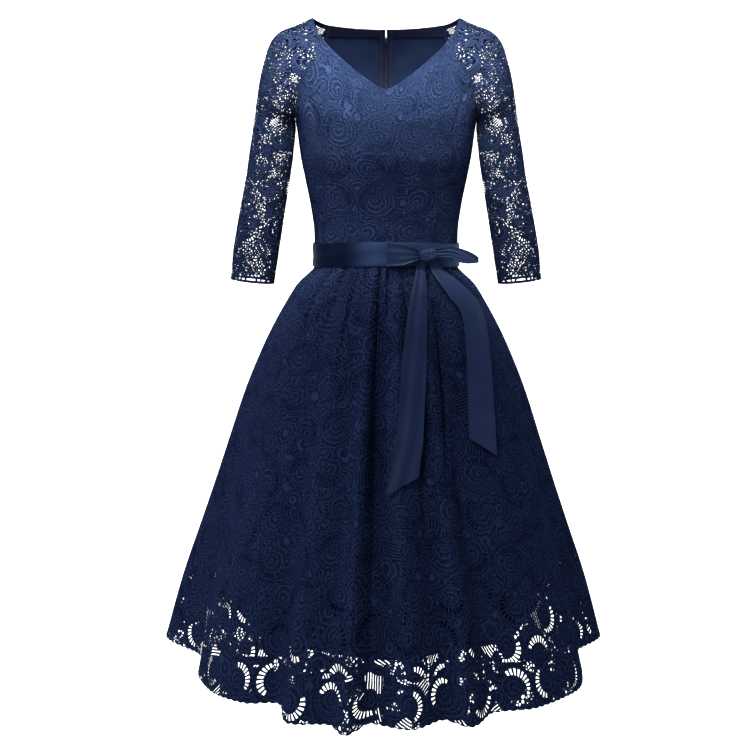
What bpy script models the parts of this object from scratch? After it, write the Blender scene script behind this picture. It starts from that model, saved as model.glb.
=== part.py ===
"""Lace bridesmaid dress with three-quarter raglan sleeves, a V neck, a satin bow belt and a gathered skirt.

Metres, +Z up, the front towards -Y. The origin is midway between the two neck points, where the
shoulders carry the dress. Every piece of cloth is a thin wall: its surface is worked out from short
tables of sections, and its inner face lies the cloth's thickness behind the outer one.
"""

import bmesh
import bpy
import numpy as np
from collections import namedtuple
from mathutils import Matrix, Vector
from mathutils.geometry import delaunay_2d_cdt

# Driving sizes
LACE = 0.0012
LINING = 0.0010
SATIN = 0.0011
LINING_INSIDE = 0.0016
SEAM = 0.0003
RAGLAN_SEAM = 0.0007
WAIST = -0.372
WAIST_SIDE_DROP = 0.010
WAIST_DROP_REACH = 0.12
NECK_FRONT = -0.118
NECK_BACK = -0.012
NECK_V_ROUND = 0.12
ARMPIT = 0.6
SEAM_ROWS = (0.60, 0.68, 0.76, 0.82, 0.88, 0.94, 1.00)
BODICE_COLUMNS = 14
HEM = -1.017
LINING_HEM = -0.957
BELT_TOP = -0.353
BELT_BOTTOM = -0.3905
BELT_HALF_WIDTH = 0.1192
BELT_FRONT = 0.0942
BELT_BACK = 0.0910
BELT_SEGMENTS = 48
SHARP_EDGE = 50.0
FLAT_TOLERANCE = 1e-7

# Mean radii that turn a seam's gap, or metres of cloth, into a share of a panel or degrees
BUST_RADIUS = 0.13
WAIST_RADIUS = 0.12
HEM_RADIUS = 0.36
LINING_HEM_RADIUS = 0.25

# Rows and columns of the panels, and each panel's size laid flat: across and along it
LOW_ROWS = (0.15, 0.30, 0.45)
SLEEVE_LOW_ROWS = (0, 0.09, 0.18, 0.27, 0.36, 0.45, 0.53)
SLEEVE_COLUMNS = 7
SKIRT_ROWS = (0, 0.035, 0.07, 0.115, 0.18, 0.28, 0.40, 0.53, 0.66, 0.79, 0.885, 1)
UNDERSKIRT_ROWS = (0, 0.035, 0.09, 0.25, 0.5, 0.75, 1)
UNDERSKIRT_COLUMN = 9.0
BODICE_FRONT_FLAT = (0.30, 0.28)
BODICE_BACK_FLAT = (0.15, 0.34)
SLEEVE_FLAT = (0.12, 0.44)
LOOP_FLAT = (0.03, 0.14)
TAIL_FLAT = (0.04, 0.30)
TAPE_FLAT = (0.012, 0.5)
COIL_FLAT = (0.004, 0.5)

# Sections of the body that the bodice follows, from the waist up to the shoulder
Section = namedtuple("Section", "level half_width front back")
TORSO = [
    Section(-0.372, 0.1160, 0.0905, 0.0870),
    Section(-0.338, 0.1165, 0.0925, 0.0880),
    Section(-0.298, 0.1220, 0.0985, 0.0910),
    Section(-0.259, 0.1300, 0.1090, 0.0950),
    Section(-0.219, 0.1378, 0.1190, 0.0980),
    Section(-0.173, 0.1440, 0.1170, 0.1000),
    Section(-0.130, 0.1545, 0.1010, 0.1010),
    Section(-0.090, 0.1565, 0.0810, 0.0980),
    Section(-0.060, 0.1550, 0.0620, 0.0910),
    Section(-0.030, 0.1500, 0.0410, 0.0800),
    Section(-0.012, 0.1470, 0.0270, 0.0700),
    Section(0.000, 0.1450, 0.0180, 0.0620),
]

# Where the raglan seam and the side seam run on the body: degrees round from the centre, and height
SeamRow = namedtuple("SeamRow", "rise angle level")
FRONT_SEAM = [
    SeamRow(0.00, 90.0, -0.372),
    SeamRow(0.30, 90.0, -0.272),
    SeamRow(0.60, 90.0, -0.173),
    SeamRow(0.68, 76.0, -0.155),
    SeamRow(0.76, 65.0, -0.126),
    SeamRow(0.82, 61.0, -0.108),
    SeamRow(0.88, 50.0, -0.087),
    SeamRow(0.92, 45.5, -0.070),
    SeamRow(0.96, 42.5, -0.053),
    SeamRow(1.00, 44.0, -0.030),
]
BACK_SEAM = [
    SeamRow(0.00, 90.0, -0.372),
    SeamRow(0.30, 90.0, -0.272),
    SeamRow(0.60, 90.0, -0.173),
    SeamRow(0.68, 77.0, -0.150),
    SeamRow(0.76, 66.0, -0.122),
    SeamRow(0.82, 58.0, -0.098),
    SeamRow(0.88, 50.0, -0.075),
    SeamRow(0.92, 45.0, -0.053),
    SeamRow(0.96, 41.0, -0.029),
    SeamRow(1.00, 39.3, -0.007),
]

# The sleeve from cuff to neck: its outer line, its underarm line, how full it is, and how sharply it
# folds away from the bodice at the seam
SleeveRow = namedtuple("SleeveRow", "rise outer_x outer_z inner_x inner_z forward full crease")
SLEEVE = [
    SleeveRow(0.00, 0.2510, -0.417, 0.1800, -0.425, -0.014, 0.049, 1.00),
    SleeveRow(0.10, 0.2475, -0.376, 0.1735, -0.383, -0.012, 0.051, 1.00),
    SleeveRow(0.20, 0.2410, -0.335, 0.1670, -0.340, -0.009, 0.052, 1.00),
    SleeveRow(0.30, 0.2338, -0.295, 0.1605, -0.298, -0.006, 0.053, 1.00),
    SleeveRow(0.40, 0.2262, -0.255, 0.1540, -0.257, -0.003, 0.055, 1.00),
    SleeveRow(0.50, 0.2190, -0.208, 0.1480, -0.215, -0.001, 0.059, 1.00),
    SleeveRow(0.60, 0.2120, -0.161, 0.1440, -0.173, 0.000, 0.062, 1.00),
    SleeveRow(0.68, 0.2072, -0.130, 0.1440, -0.155, 0.000, 0.058, 0.78),
    SleeveRow(0.76, 0.2018, -0.098, 0.1440, -0.126, 0.000, 0.050, 0.62),
    SleeveRow(0.82, 0.1950, -0.070, 0.1380, -0.108, 0.000, 0.043, 0.46),
    SleeveRow(0.88, 0.1860, -0.042, 0.1190, -0.087, 0.000, 0.036, 0.25),
    SleeveRow(0.92, 0.1695, -0.023, 0.1110, -0.070, 0.001, 0.031, 0.10),
    SleeveRow(0.96, 0.1440, -0.0125, 0.1020, -0.053, 0.002, 0.024, 0.00),
    SleeveRow(1.00, 0.1170, 0.000, 0.1050, -0.030, 0.004, 0.014, 0.00),
]

# Sections of the skirt and of its lining, from the hem up to the waist
SKIRT = [
    Section(-1.017, 0.3595, 0.3620, 0.3540),
    Section(-0.912, 0.3310, 0.3270, 0.3220),
    Section(-0.833, 0.3045, 0.2970, 0.2930),
    Section(-0.754, 0.2780, 0.2670, 0.2640),
    Section(-0.675, 0.2525, 0.2370, 0.2350),
    Section(-0.595, 0.2255, 0.2060, 0.2040),
    Section(-0.516, 0.1920, 0.1680, 0.1670),
    Section(-0.457, 0.1610, 0.1350, 0.1340),
    Section(-0.417, 0.1370, 0.1110, 0.1090),
    Section(-0.402, 0.1235, 0.0985, 0.0960),
    Section(-0.391, 0.1165, 0.0912, 0.0880),
    Section(-0.372, 0.1160, 0.0905, 0.0870),
]
UNDERSKIRT = [
    Section(-0.957, 0.2480, 0.2600, 0.2560),
    Section(-0.833, 0.2190, 0.2160, 0.2140),
    Section(-0.675, 0.1880, 0.1700, 0.1680),
    Section(-0.516, 0.1510, 0.1270, 0.1250),
    Section(-0.417, 0.1190, 0.0935, 0.0910),
    Section(-0.391, 0.1146, 0.0893, 0.0861),
    Section(-0.372, 0.1144, 0.0889, 0.0854),
]

# Folds of the skirt: degrees round from the centre, and how far the cloth stands out there just below
# the belt, halfway down and at the hem. Front angles run from the wearer's right seam to the left.
Fold = namedtuple("Fold", "angle waist middle hem")
FRONT_FOLDS = [
    Fold(-90.0, 0.003, 0.004, 0.009),
    Fold(-72.0, -0.005, -0.013, -0.046),
    Fold(-57.0, 0.002, -0.004, -0.018),
    Fold(-45.0, 0.004, 0.004, -0.006),
    Fold(-37.0, 0.000, -0.003, -0.012),
    Fold(-29.5, -0.006, -0.013, -0.038),
    Fold(-21.5, 0.005, 0.010, 0.014),
    Fold(-13.0, -0.003, -0.004, 0.001),
    Fold(-8.5, 0.004, 0.007, 0.030),
    Fold(-3.5, -0.008, -0.024, -0.010),
    Fold(5.5, 0.005, 0.008, 0.010),
    Fold(13.6, -0.005, -0.009, -0.014),
    Fold(18.5, 0.004, 0.006, 0.019),
    Fold(26.5, -0.006, -0.016, -0.012),
    Fold(37.0, 0.003, 0.005, 0.008),
    Fold(50.0, 0.002, 0.009, 0.010),
    Fold(62.0, -0.001, -0.004, -0.014),
    Fold(74.5, -0.005, -0.014, -0.043),
    Fold(90.0, 0.003, 0.000, 0.000),
]
# Back angles run from the wearer's right seam round to the left, with the centre back at 0
BACK_FOLDS = [
    Fold(-90.0, 0.003, 0.004, 0.009),
    Fold(-77.0, -0.004, -0.014, -0.036),
    Fold(-64.0, 0.003, 0.006, 0.006),
    Fold(-53.0, -0.004, -0.012, -0.030),
    Fold(-42.0, 0.004, 0.008, 0.012),
    Fold(-31.0, -0.004, -0.009, -0.024),
    Fold(-21.0, 0.004, 0.008, 0.018),
    Fold(-11.0, -0.006, -0.016, -0.022),
    Fold(0.0, 0.000, 0.006, 0.008),
    Fold(9.0, -0.004, -0.010, -0.018),
    Fold(17.0, 0.005, 0.010, 0.020),
    Fold(27.0, -0.006, -0.018, -0.030),
    Fold(38.0, 0.004, 0.006, 0.010),
    Fold(49.0, -0.003, -0.010, -0.026),
    Fold(60.0, 0.003, 0.007, 0.008),
    Fold(75.0, -0.005, -0.013, -0.042),
    Fold(90.0, 0.003, 0.000, 0.000),
]
FOLD_START = -0.392
FOLD_FULL = -0.425
FOLD_MIDDLE = -0.680

UNDERSKIRT_WAVE = 0.006
UNDERSKIRT_WAVES = 8

# The lace's scrolls lie in staggered rows on the cloth, each turned, shifted and sized in its own way,
# and each with an arc of open gaps. Places are metres on the cloth.
SCROLL_COLUMN = 0.053
SCROLL_ROW = 0.050
SCROLL_FIRST = (0.030, 0.034)
SCROLL_STAGGER = 0.010
SCROLL_TURN = 137.5
SCROLL_SHIFT = 0.0035
SCROLL_LEAN = 0.13
SCROLL_VARIETY = 0.10
SCROLL_RADIUS = 0.0165
NUMBERS_IN_ROW = 7
GAP_DEPTH = 0.0085
GAP_BAR = 0.0030
GAP_TAPER = 0.18
HOLE_MARGIN = 1.7
GAPS_IN_ARC = 3
ARC_SWEEP = 140.0
SLEEVE_ROWS_OF_SCROLLS = 8
SLEEVE_EDGE = 0.0045
HEM_SCROLLS = 20
HEM_SCROLL_SCALE = 1.2
HEM_SCROLL_UP = 0.031

# The satin bow and its tails, on the front to the wearer's left
KNOT_ANGLE = 31.0
KNOT_LEVEL = -0.371
KNOT_SIZE = (0.0150, 0.0080, 0.0105)
KNOT_OUT = 0.00825
KNOT_SQUARENESS = 0.62
LoopRow = namedtuple("LoopRow", "along out up half")
RIGHT_LOOP = [
    LoopRow(0.0151, 0.0035, 0.001, 0.0065),
    LoopRow(0.0330, 0.0030, 0.002, 0.0080),
    LoopRow(0.0560, 0.0020, -0.0055, 0.0097),
    LoopRow(0.0780, 0.0020, -0.012, 0.0070),
    LoopRow(0.0930, 0.0050, -0.0137, 0.0030),
    LoopRow(0.0800, 0.0105, -0.0105, 0.0075),
    LoopRow(0.0560, 0.0150, -0.0045, 0.0105),
    LoopRow(0.0330, 0.0150, 0.002, 0.0090),
    LoopRow(0.0151, 0.0100, 0.001, 0.0065),
]
LEFT_LOOP = [
    LoopRow(-0.0149, 0.0030, 0.000, 0.0065),
    LoopRow(-0.0270, 0.0014, 0.000, 0.0120),
    LoopRow(-0.0420, 0.0010, -0.001, 0.0165),
    LoopRow(-0.0545, 0.0010, -0.001, 0.0180),
    LoopRow(-0.0600, 0.0044, -0.0015, 0.0185),
    LoopRow(-0.0545, 0.0085, -0.001, 0.0180),
    LoopRow(-0.0420, 0.0125, -0.001, 0.0165),
    LoopRow(-0.0270, 0.0140, 0.000, 0.0120),
    LoopRow(-0.0149, 0.0100, 0.000, 0.0065),
]
# Each tail's two edges, and how far it stands out of the skirt's section
TailRow = namedtuple("TailRow", "left_x left_z right_x right_z out")
LEFT_TAIL = [
    TailRow(0.0482, -0.3821, 0.0602, -0.3821, 0.0048),
    TailRow(0.0450, -0.404, 0.0620, -0.404, 0.0070),
    TailRow(0.0395, -0.426, 0.0630, -0.428, 0.0085),
    TailRow(0.0300, -0.480, 0.0620, -0.484, 0.0120),
    TailRow(0.0230, -0.540, 0.0605, -0.542, 0.0130),
    TailRow(0.0195, -0.590, 0.0570, -0.592, 0.0140),
    TailRow(0.0145, -0.637, 0.0545, -0.638, 0.0150),
    TailRow(0.0070, -0.675, 0.0500, -0.668, 0.0155),
    TailRow(0.0000, -0.7095, 0.0475, -0.6860, 0.0160),
]
RIGHT_TAIL = [
    TailRow(0.0632, -0.3818, 0.0752, -0.3818, 0.0048),
    TailRow(0.0760, -0.406, 0.0950, -0.402, 0.0070),
    TailRow(0.0960, -0.434, 0.1260, -0.426, 0.0090),
    TailRow(0.1180, -0.466, 0.1510, -0.460, 0.0120),
    TailRow(0.1225, -0.510, 0.1600, -0.508, 0.0130),
    TailRow(0.1235, -0.552, 0.1625, -0.552, 0.0140),
    TailRow(0.1235, -0.595, 0.1645, -0.600, 0.0150),
    TailRow(0.1240, -0.637, 0.1664, -0.667, 0.0160),
]

# The zip at the centre back
ZIP_TOP = -0.0200
ZIP_END = -0.520
ZIP_COIL_TOP = -0.0330
ZIP_COIL_END = -0.516
ZIP_TAPE = 0.0006
ZIP_TAPE_FROM = 0.0010
ZIP_TAPE_TO = 0.0120
ZIP_TAPE_INSIDE = 0.0042
ZIP_TAPE_ROUND = 0.15
BACK_NECK = 0.07
ZIP_COIL_INSIDE = 0.0052
ZIP_COIL_HALF = 0.0017
ZIP_COIL_DEPTH = 0.0011
ZIP_TOP_GAP = 0.0016
ZIP_TOP_GAP_START = 0.93
SLIDER_LEVEL = -0.0270
SLIDER_INNER = (0.0023, 0.0040)
SLIDER_NECK = (0.0005, 0.0028)
SLIDER_INNER_DEPTHS = (-0.0078, -0.0058)
BAIL_HALF = 0.0008
BAIL_REACH = 0.0031
BAIL_LEG = 0.0009
BAIL_BASE = (0.0006, 0.0014)
BAIL_TOP = (0.0032, 0.0041)
HINGE_OUT = 0.0023
PULL_BAR = 0.0005
PULL_RING = (0.0014, 0.0024)
PULL_WINDOW = 0.0054
PULL_LENGTH = 0.0240
PULL_TIP_HALF = 0.0017

COLOURS = {
    "lace": (0.022, 0.034, 0.098, 1.0),
    "lining": (0.018, 0.028, 0.080, 1.0),
    "satin": (0.012, 0.022, 0.075, 1.0),
    "zip": (0.016, 0.024, 0.070, 1.0),
    "metal": (0.030, 0.042, 0.110, 1.0),
}
ROUGHNESS = {"lace": 0.8, "lining": 0.5, "satin": 0.3, "zip": 0.6, "metal": 0.35}


def read(table, column, at, level_ends=False):
    """A column's value at a place along the table's first column, on a smooth curve with no overshoot."""
    places = np.array([row[0] for row in table])
    values = np.array([getattr(row, column) for row in table])
    steps = np.diff(values) / np.diff(places)
    before, after = steps[:-1], steps[1:]
    same = before * after > 0
    mean = np.where(same, 2 * before * after / np.where(same, before + after, 1), 0)
    ends = 0 if level_ends else 1
    slopes = np.concatenate([steps[:1] * ends, mean, steps[-1:] * ends])
    at = np.clip(at, places[0], places[-1])
    i = np.clip(np.searchsorted(places, at) - 1, 0, len(places) - 2)
    wide = places[i + 1] - places[i]
    t = (at - places[i]) / wide
    rise = t * t * (3 - 2 * t)
    bend = t * (1 - t) * wide
    return values[i] * (1 - rise) + values[i + 1] * rise + bend * ((1 - t) * slopes[i] - t * slopes[i + 1])


def points(x, y, z):
    return np.stack(np.broadcast_arrays(x, y, z), axis=-1)


def unit(vectors):
    return vectors / np.linalg.norm(vectors, axis=-1, keepdims=True)


def waist_sag(turn, level):
    """How far the waistline and the cloth near it drop towards the side seams."""
    near = np.clip(1 - np.abs(level - WAIST) / WAIST_DROP_REACH, 0, 1)
    return WAIST_SIDE_DROP * np.sin(turn) ** 2 * near * near


def on_section(table, angle, level, out, side):
    """A point on a section. side is -1 in front and 1 at the back, and angle is from that centre."""
    turn = np.radians(angle)
    depth = read(table, "front" if side < 0 else "back", level)
    x = (read(table, "half_width", level) + out) * np.sin(turn)
    y = side * (depth + out) * np.cos(turn)
    return points(x, y, level - waist_sag(turn, level))


def soft_v(across, roundness):
    """0 at the centre and 1 at the edges, straight but for a round middle."""
    low = np.sqrt(across**2 + roundness**2) - roundness
    return low / (np.sqrt(1 + roundness**2) - roundness)


def bodice_front(across, rise):
    """across runs from -1 to 1, between the seams at the wearer's right and left."""
    edge_level = read(FRONT_SEAM, "level", rise)
    centre_level = WAIST + (NECK_FRONT - WAIST) * rise
    roundness = 1 + (NECK_V_ROUND - 1) * rise
    level = centre_level + (edge_level - centre_level) * soft_v(across, roundness)
    return on_section(TORSO, across * read(FRONT_SEAM, "angle", rise), level, 0, -1)


def bodice_back(across, rise):
    edge_level = read(BACK_SEAM, "level", rise)
    centre_level = WAIST + (NECK_BACK - WAIST) * rise
    level = centre_level + (edge_level - centre_level) * across**2
    return on_section(TORSO, across * read(BACK_SEAM, "angle", rise), level, 0, 1)


def sleeve(side, across, rise):
    """Half of the sleeve on +X. across runs from the underarm line or raglan seam out to the outer line."""
    bodice = bodice_front if side < 0 else bodice_back
    seam = bodice(1.0, rise)
    before = bodice(0.98, rise)
    forward = read(SLEEVE, "forward", rise)
    tube = points(read(SLEEVE, "inner_x", rise), forward, read(SLEEVE, "inner_z", rise))
    on_seam = np.asarray(rise)[..., None] > ARMPIT
    start = np.where(on_seam, seam, tube) + np.array([RAGLAN_SEAM, side * SEAM / 2, 0])
    end = points(read(SLEEVE, "outer_x", rise), forward + side * SEAM / 2, read(SLEEVE, "outer_z", rise))
    crease = np.asarray(read(SLEEVE, "crease", rise))[..., None]
    leave = unit(crease * np.array([0.0, side, 0.0]) + (1 - crease) * unit(seam - before))
    full = np.asarray(read(SLEEVE, "full", rise))[..., None]
    t = np.asarray(across)[..., None]
    first = start + full * leave
    last = end + full * np.array([0.0, side, 0.0])
    s = 1 - t
    return s**3 * start + 3 * s * s * t * first + 3 * s * t * t * last + t**3 * end


def fold_depth(folds, angle, level):
    """How far the skirt stands out of its section at an angle and a height."""
    waist = read(folds, "waist", angle, level_ends=True)
    middle = read(folds, "middle", angle, level_ends=True)
    hem = read(folds, "hem", angle, level_ends=True)
    down = np.clip((FOLD_FULL - level) / (FOLD_FULL - FOLD_MIDDLE), 0, 1)
    further = np.clip((FOLD_MIDDLE - level) / (FOLD_MIDDLE - HEM), 0, 1)
    start = np.clip((FOLD_START - level) / (FOLD_START - FOLD_FULL), 0, 1)
    return start * (waist + (middle - waist) * down + (hem - middle) * further)


def skirt(side, angle, level):
    folds = FRONT_FOLDS if side < 0 else BACK_FOLDS
    return on_section(SKIRT, angle, level, fold_depth(folds, angle, level), side)


def underskirt(side, angle, level):
    """The skirt's lining, with low even waves towards its hem."""
    down = (WAIST - level) / (WAIST - LINING_HEM)
    wave = UNDERSKIRT_WAVE * down**2 * np.cos(np.radians(angle) * UNDERSKIRT_WAVES)
    return on_section(UNDERSKIRT, angle, level, wave, side)


def belt(angle, level, out):
    """The belt's outer face, all round, from the centre front."""
    turn = np.radians(angle)
    front = np.cos(turn) > 0
    depth = np.where(front, BELT_FRONT, BELT_BACK) + out
    x = (BELT_HALF_WIDTH + out) * np.sin(turn)
    return points(x, -depth * np.cos(turn), level - waist_sag(turn, level))


def tail(row_at, across, table):
    """A tail's outer face: between its two edges, over the skirt's section."""
    index = np.arange(len(table))
    x, z, out = (
        np.interp(row_at, index, [getattr(row, left) for row in table]) * (1 - across)
        + np.interp(row_at, index, [getattr(row, right) for row in table]) * across
        for left, right in (("left_x", "right_x"), ("left_z", "right_z"), ("out", "out"))
    )
    half_width = read(SKIRT, "half_width", z) + out
    depth = read(SKIRT, "front", z) + out
    return points(x, -depth * np.sqrt(1 - (x / half_width) ** 2), z)


def normals(place, u, v):
    """Unit normals of a surface place(u, v), on the side that the two directions' cross product gives."""
    step = 1e-4
    along_u = place(np.clip(u + step, 0, 1), v) - place(np.clip(u - step, 0, 1), v)
    along_v = place(u, np.clip(v + step, 0, 1)) - place(u, np.clip(v - step, 0, 1))
    return unit(np.cross(along_u, along_v))


def in_polygon(spot, polygon):
    inside = False
    for (x1, y1), (x2, y2) in zip(polygon, polygon[1:] + polygon[:1]):
        if (y1 > spot[1]) != (y2 > spot[1]) and spot[0] < x1 + (spot[1] - y1) * (x2 - x1) / (y2 - y1):
            inside = not inside
    return inside


def grown(polygon, by):
    centre = np.mean(polygon, axis=0)
    return [tuple(centre + (np.array(corner) - centre) * by) for corner in polygon]


def flat_cut(size, across, along, holes):
    """Triangles of a panel's flat cut, in its own u and v, with its holes left out."""
    width, length = size
    rim = [(u, along[0]) for u in across] + [(across[-1], v) for v in along[1:]]
    rim += [(u, along[-1]) for u in across[-2::-1]] + [(across[0], v) for v in along[-2:0:-1]]
    near = [grown(hole, HOLE_MARGIN) for hole in holes]
    inner = [(u, v) for u in across[1:-1] for v in along[1:-1]]
    spots = rim + [spot for spot in inner if not any(in_polygon(spot, hole) for hole in near)]
    edges = [(i, (i + 1) % len(rim)) for i in range(len(rim))]
    for hole in holes:
        first = len(spots)
        spots += hole
        edges += [(first + i, first + (i + 1) % len(hole)) for i in range(len(hole))]
    flat = [Vector((u * width, v * length)) for u, v in spots]
    made, _, faces, _, _, _ = delaunay_2d_cdt(flat, edges, [], 0, FLAT_TOLERANCE)
    spots = [(spot.x / width, spot.y / length) for spot in made]
    kept = []
    for face in faces:
        middle = tuple(np.mean([spots[i] for i in face], axis=0))
        if not any(in_polygon(middle, hole) for hole in holes):
            kept.append(tuple(face))
    return np.array(spots), kept


def solid_wall(name, outer, inner, faces, material):
    """One closed body between two faces of a cloth, given as matching points, with its edges closed."""
    count = len(outer)
    used = {}
    for face in faces:
        for a, b in zip(face, face[1:] + face[:1]):
            used[(a, b)] = True
    rim = [(a, b) for a, b in used if (b, a) not in used]
    mesh = bpy.data.meshes.new(name)
    walls = [(b, a, a + count, b + count) for a, b in rim]
    back = [tuple(i + count for i in reversed(face)) for face in faces]
    mesh.from_pydata([tuple(p) for p in np.concatenate([outer, inner])], [], list(faces) + back + walls)
    return finish_mesh(name, mesh, material)


def finish_mesh(name, mesh, material):
    """Loose points dropped, normals turned out and an object made."""
    shape = bmesh.new()
    shape.from_mesh(mesh)
    bmesh.ops.delete(shape, geom=[v for v in shape.verts if not v.link_faces], context="VERTS")
    bmesh.ops.triangulate(shape, faces=shape.faces)
    if shape.calc_volume(signed=True) < 0:
        bmesh.ops.reverse_faces(shape, faces=shape.faces)
    shape.to_mesh(mesh)
    shape.free()
    mesh.shade_smooth()
    mesh.set_sharp_from_angle(angle=np.radians(SHARP_EDGE))
    mesh.materials.append(MATERIALS[material])
    made = bpy.data.objects.new(name, mesh)
    bpy.context.scene.collection.objects.link(made)
    made.parent = ROOT
    return made


def cloth(name, place, size, across, along, thick, material, side, holes=(), inset=0.0):
    """A panel of cloth: place(u, v) gives its surface. It faces the front if side is -1, the back if 1."""
    spots, faces = flat_cut(size, list(across), list(along), list(holes))
    u, v = spots[:, 0], spots[:, 1]
    facing = normals(place, u, v)
    facing *= np.sign(facing[:, 1].mean()) * side
    surface = place(u, v)
    return solid_wall(name, surface - inset * facing, surface - (inset + thick) * facing, faces, material)


def even(start, end, pieces):
    return np.linspace(start, end, pieces + 1)


def scroll(column, row):
    """A scroll's centre on the cloth, the way that it is turned and its size."""
    number = NUMBERS_IN_ROW * row + column
    turn = np.radians(SCROLL_TURN) * number
    odd = row % 2
    x = SCROLL_FIRST[0] + SCROLL_COLUMN * column + SCROLL_STAGGER * odd + SCROLL_SHIFT * np.cos(turn)
    y = SCROLL_FIRST[1] + SCROLL_ROW * row + SCROLL_SHIFT * np.sin(turn)
    return x, y, turn, 1 + SCROLL_VARIETY * np.cos(number)


def arc_of_gaps(column, row):
    """The gaps round one scroll, each with four corners, on the cloth in metres."""
    x, y, turn, size = scroll(column, row)
    bar = GAP_BAR / SCROLL_RADIUS
    share = np.radians(ARC_SWEEP) / GAPS_IN_ARC
    middle = (GAPS_IN_ARC - 1) / 2
    gaps = []
    for i in range(GAPS_IN_ARC):
        depth = GAP_DEPTH * (1 - GAP_TAPER * abs(i - middle)) / 2
        begin = i * share + bar / 2
        end = begin + share - bar
        gap = []
        for out, way in ((-depth, begin), (depth, begin), (depth, end), (-depth, end)):
            reach = size * (SCROLL_RADIUS + out) / (1 + SCROLL_LEAN * np.cos(way))
            gap.append((x + reach * np.cos(turn + way), y + reach * np.sin(turn + way)))
        gaps.append(gap)
    return gaps


def sleeve_gaps(side):
    """Gaps of half a sleeve as (across, rise) corners. They are laid out in metres in from the outer line."""
    rises = even(0, 1, 100)
    ways = sleeve(side, np.linspace(0, 1, 25)[None, :], rises[:, None])
    widths = np.linalg.norm(np.diff(ways, axis=1), axis=2).sum(axis=1)
    lengths = np.concatenate([[0], np.cumsum(np.linalg.norm(np.diff(ways[:, 16], axis=0), axis=1))])
    gaps = []
    for row in range(SLEEVE_ROWS_OF_SCROLLS):
        for column in (0, 1):
            for gap in arc_of_gaps(column, row):
                inward, upward = np.array(gap).T
                wide = np.interp(upward, lengths, widths)
                room = min(inward.min(), (wide - inward).min(), lengths[-1] - upward.max())
                if room >= SLEEVE_EDGE:
                    gaps.append(list(zip(1 - inward / wide, np.interp(upward, lengths, rises))))
    return gaps


def hem_gaps(count, length):
    """Gaps of a skirt panel's hem band, which has a count of scrolls across, as (u, v) corners."""
    gaps = []
    for column in range(count):
        for gap in arc_of_gaps(column, 0):
            across, up = np.array(gap).T
            across = across / SCROLL_COLUMN / count
            up = HEM_SCROLL_UP + HEM_SCROLL_SCALE * (up - SCROLL_FIRST[1])
            if across.max() < 1 and up.min() > SLEEVE_EDGE:
                gaps.append(list(zip(across, 1 - up / length)))
    return gaps


def make_bodice():
    edge = SEAM / 2 / BUST_RADIUS
    rows = (edge,) + LOW_ROWS + SEAM_ROWS
    for layer, thick, inset in (("bodice", LACE, 0.0), ("bodice_lining", LINING, LINING_INSIDE)):
        material = "lace" if layer == "bodice" else "lining"
        cloth(
            layer + "_front",
            lambda u, v: bodice_front(2 * u - 1, v),
            BODICE_FRONT_FLAT,
            even(edge, 1 - edge, BODICE_COLUMNS),
            rows,
            thick,
            material,
            -1,
            inset=inset,
        )
        for name, turn in (("left", 1), ("right", -1)):

            def half(u, v, turn=turn):
                up = np.clip((v - ZIP_TOP_GAP_START) / (1 - ZIP_TOP_GAP_START), 0, 1)
                gap = 2 * edge + ZIP_TOP_GAP / BACK_NECK * up
                spot = bodice_back(u + gap * (1 - u) ** 4, v)
                return spot * np.array([turn, 1, 1])

            cloth(
                layer + "_back_" + name,
                half,
                BODICE_BACK_FLAT,
                even(0, 1 - edge, BODICE_COLUMNS // 2),
                rows,
                thick,
                material,
                1,
                inset=inset,
            )


def make_sleeves():
    for name, turn in (("left", 1), ("right", -1)):
        for face, side in (("front", -1), ("back", 1)):

            def half(u, v, side=side, turn=turn):
                return sleeve(side, u, v) * np.array([turn, 1, 1])

            cloth(
                "sleeve_" + name + "_" + face,
                half,
                SLEEVE_FLAT,
                even(0, 1, SLEEVE_COLUMNS),
                SLEEVE_LOW_ROWS + SEAM_ROWS,
                LACE,
                "lace",
                side,
                holes=sleeve_gaps(side),
            )


def fold_columns(folds, first, last, between):
    """Angles at each fold's ridge and trough, and between them."""
    marks = [row.angle for row in folds if first <= row.angle <= last]
    return np.concatenate([even(a, b, between)[:-1] for a, b in zip(marks, marks[1:])] + [[last]])


def make_skirt():
    length = WAIST - HEM
    for name, side, first, last in (
        ("skirt_front", -1, -90, 90),
        ("skirt_back_left", 1, 0, 90),
        ("skirt_back_right", 1, -90, 0),
    ):
        folds = FRONT_FOLDS if side < 0 else BACK_FOLDS
        angles = fold_columns(folds, first, last, 2)
        gap = np.degrees(SEAM / 2 / WAIST_RADIUS)

        def panel(u, v, side=side, first=first, last=last, gap=gap):
            level = WAIST + (HEM - WAIST) * v
            narrow = gap * WAIST_RADIUS / read(SKIRT, "half_width", level)
            return skirt(side, first + narrow + (last - first - 2 * narrow) * u, level)

        turn = last - first
        cloth(
            name,
            panel,
            (np.radians(turn) * HEM_RADIUS, length),
            (angles - first) / turn,
            SKIRT_ROWS,
            LACE,
            "lace",
            side,
            holes=hem_gaps(HEM_SCROLLS * turn // 180, length),
        )

        def under(u, v, side=side, first=first, last=last, gap=gap):
            level = WAIST + (LINING_HEM - WAIST) * v
            return underskirt(side, first + gap + (last - first - 2 * gap) * u, level)

        cloth(
            name.replace("skirt", "skirt_lining"),
            under,
            (np.radians(turn) * LINING_HEM_RADIUS, length),
            even(0, 1, round(turn / UNDERSKIRT_COLUMN)),
            UNDERSKIRT_ROWS,
            LINING,
            "lining",
            side,
        )


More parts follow.
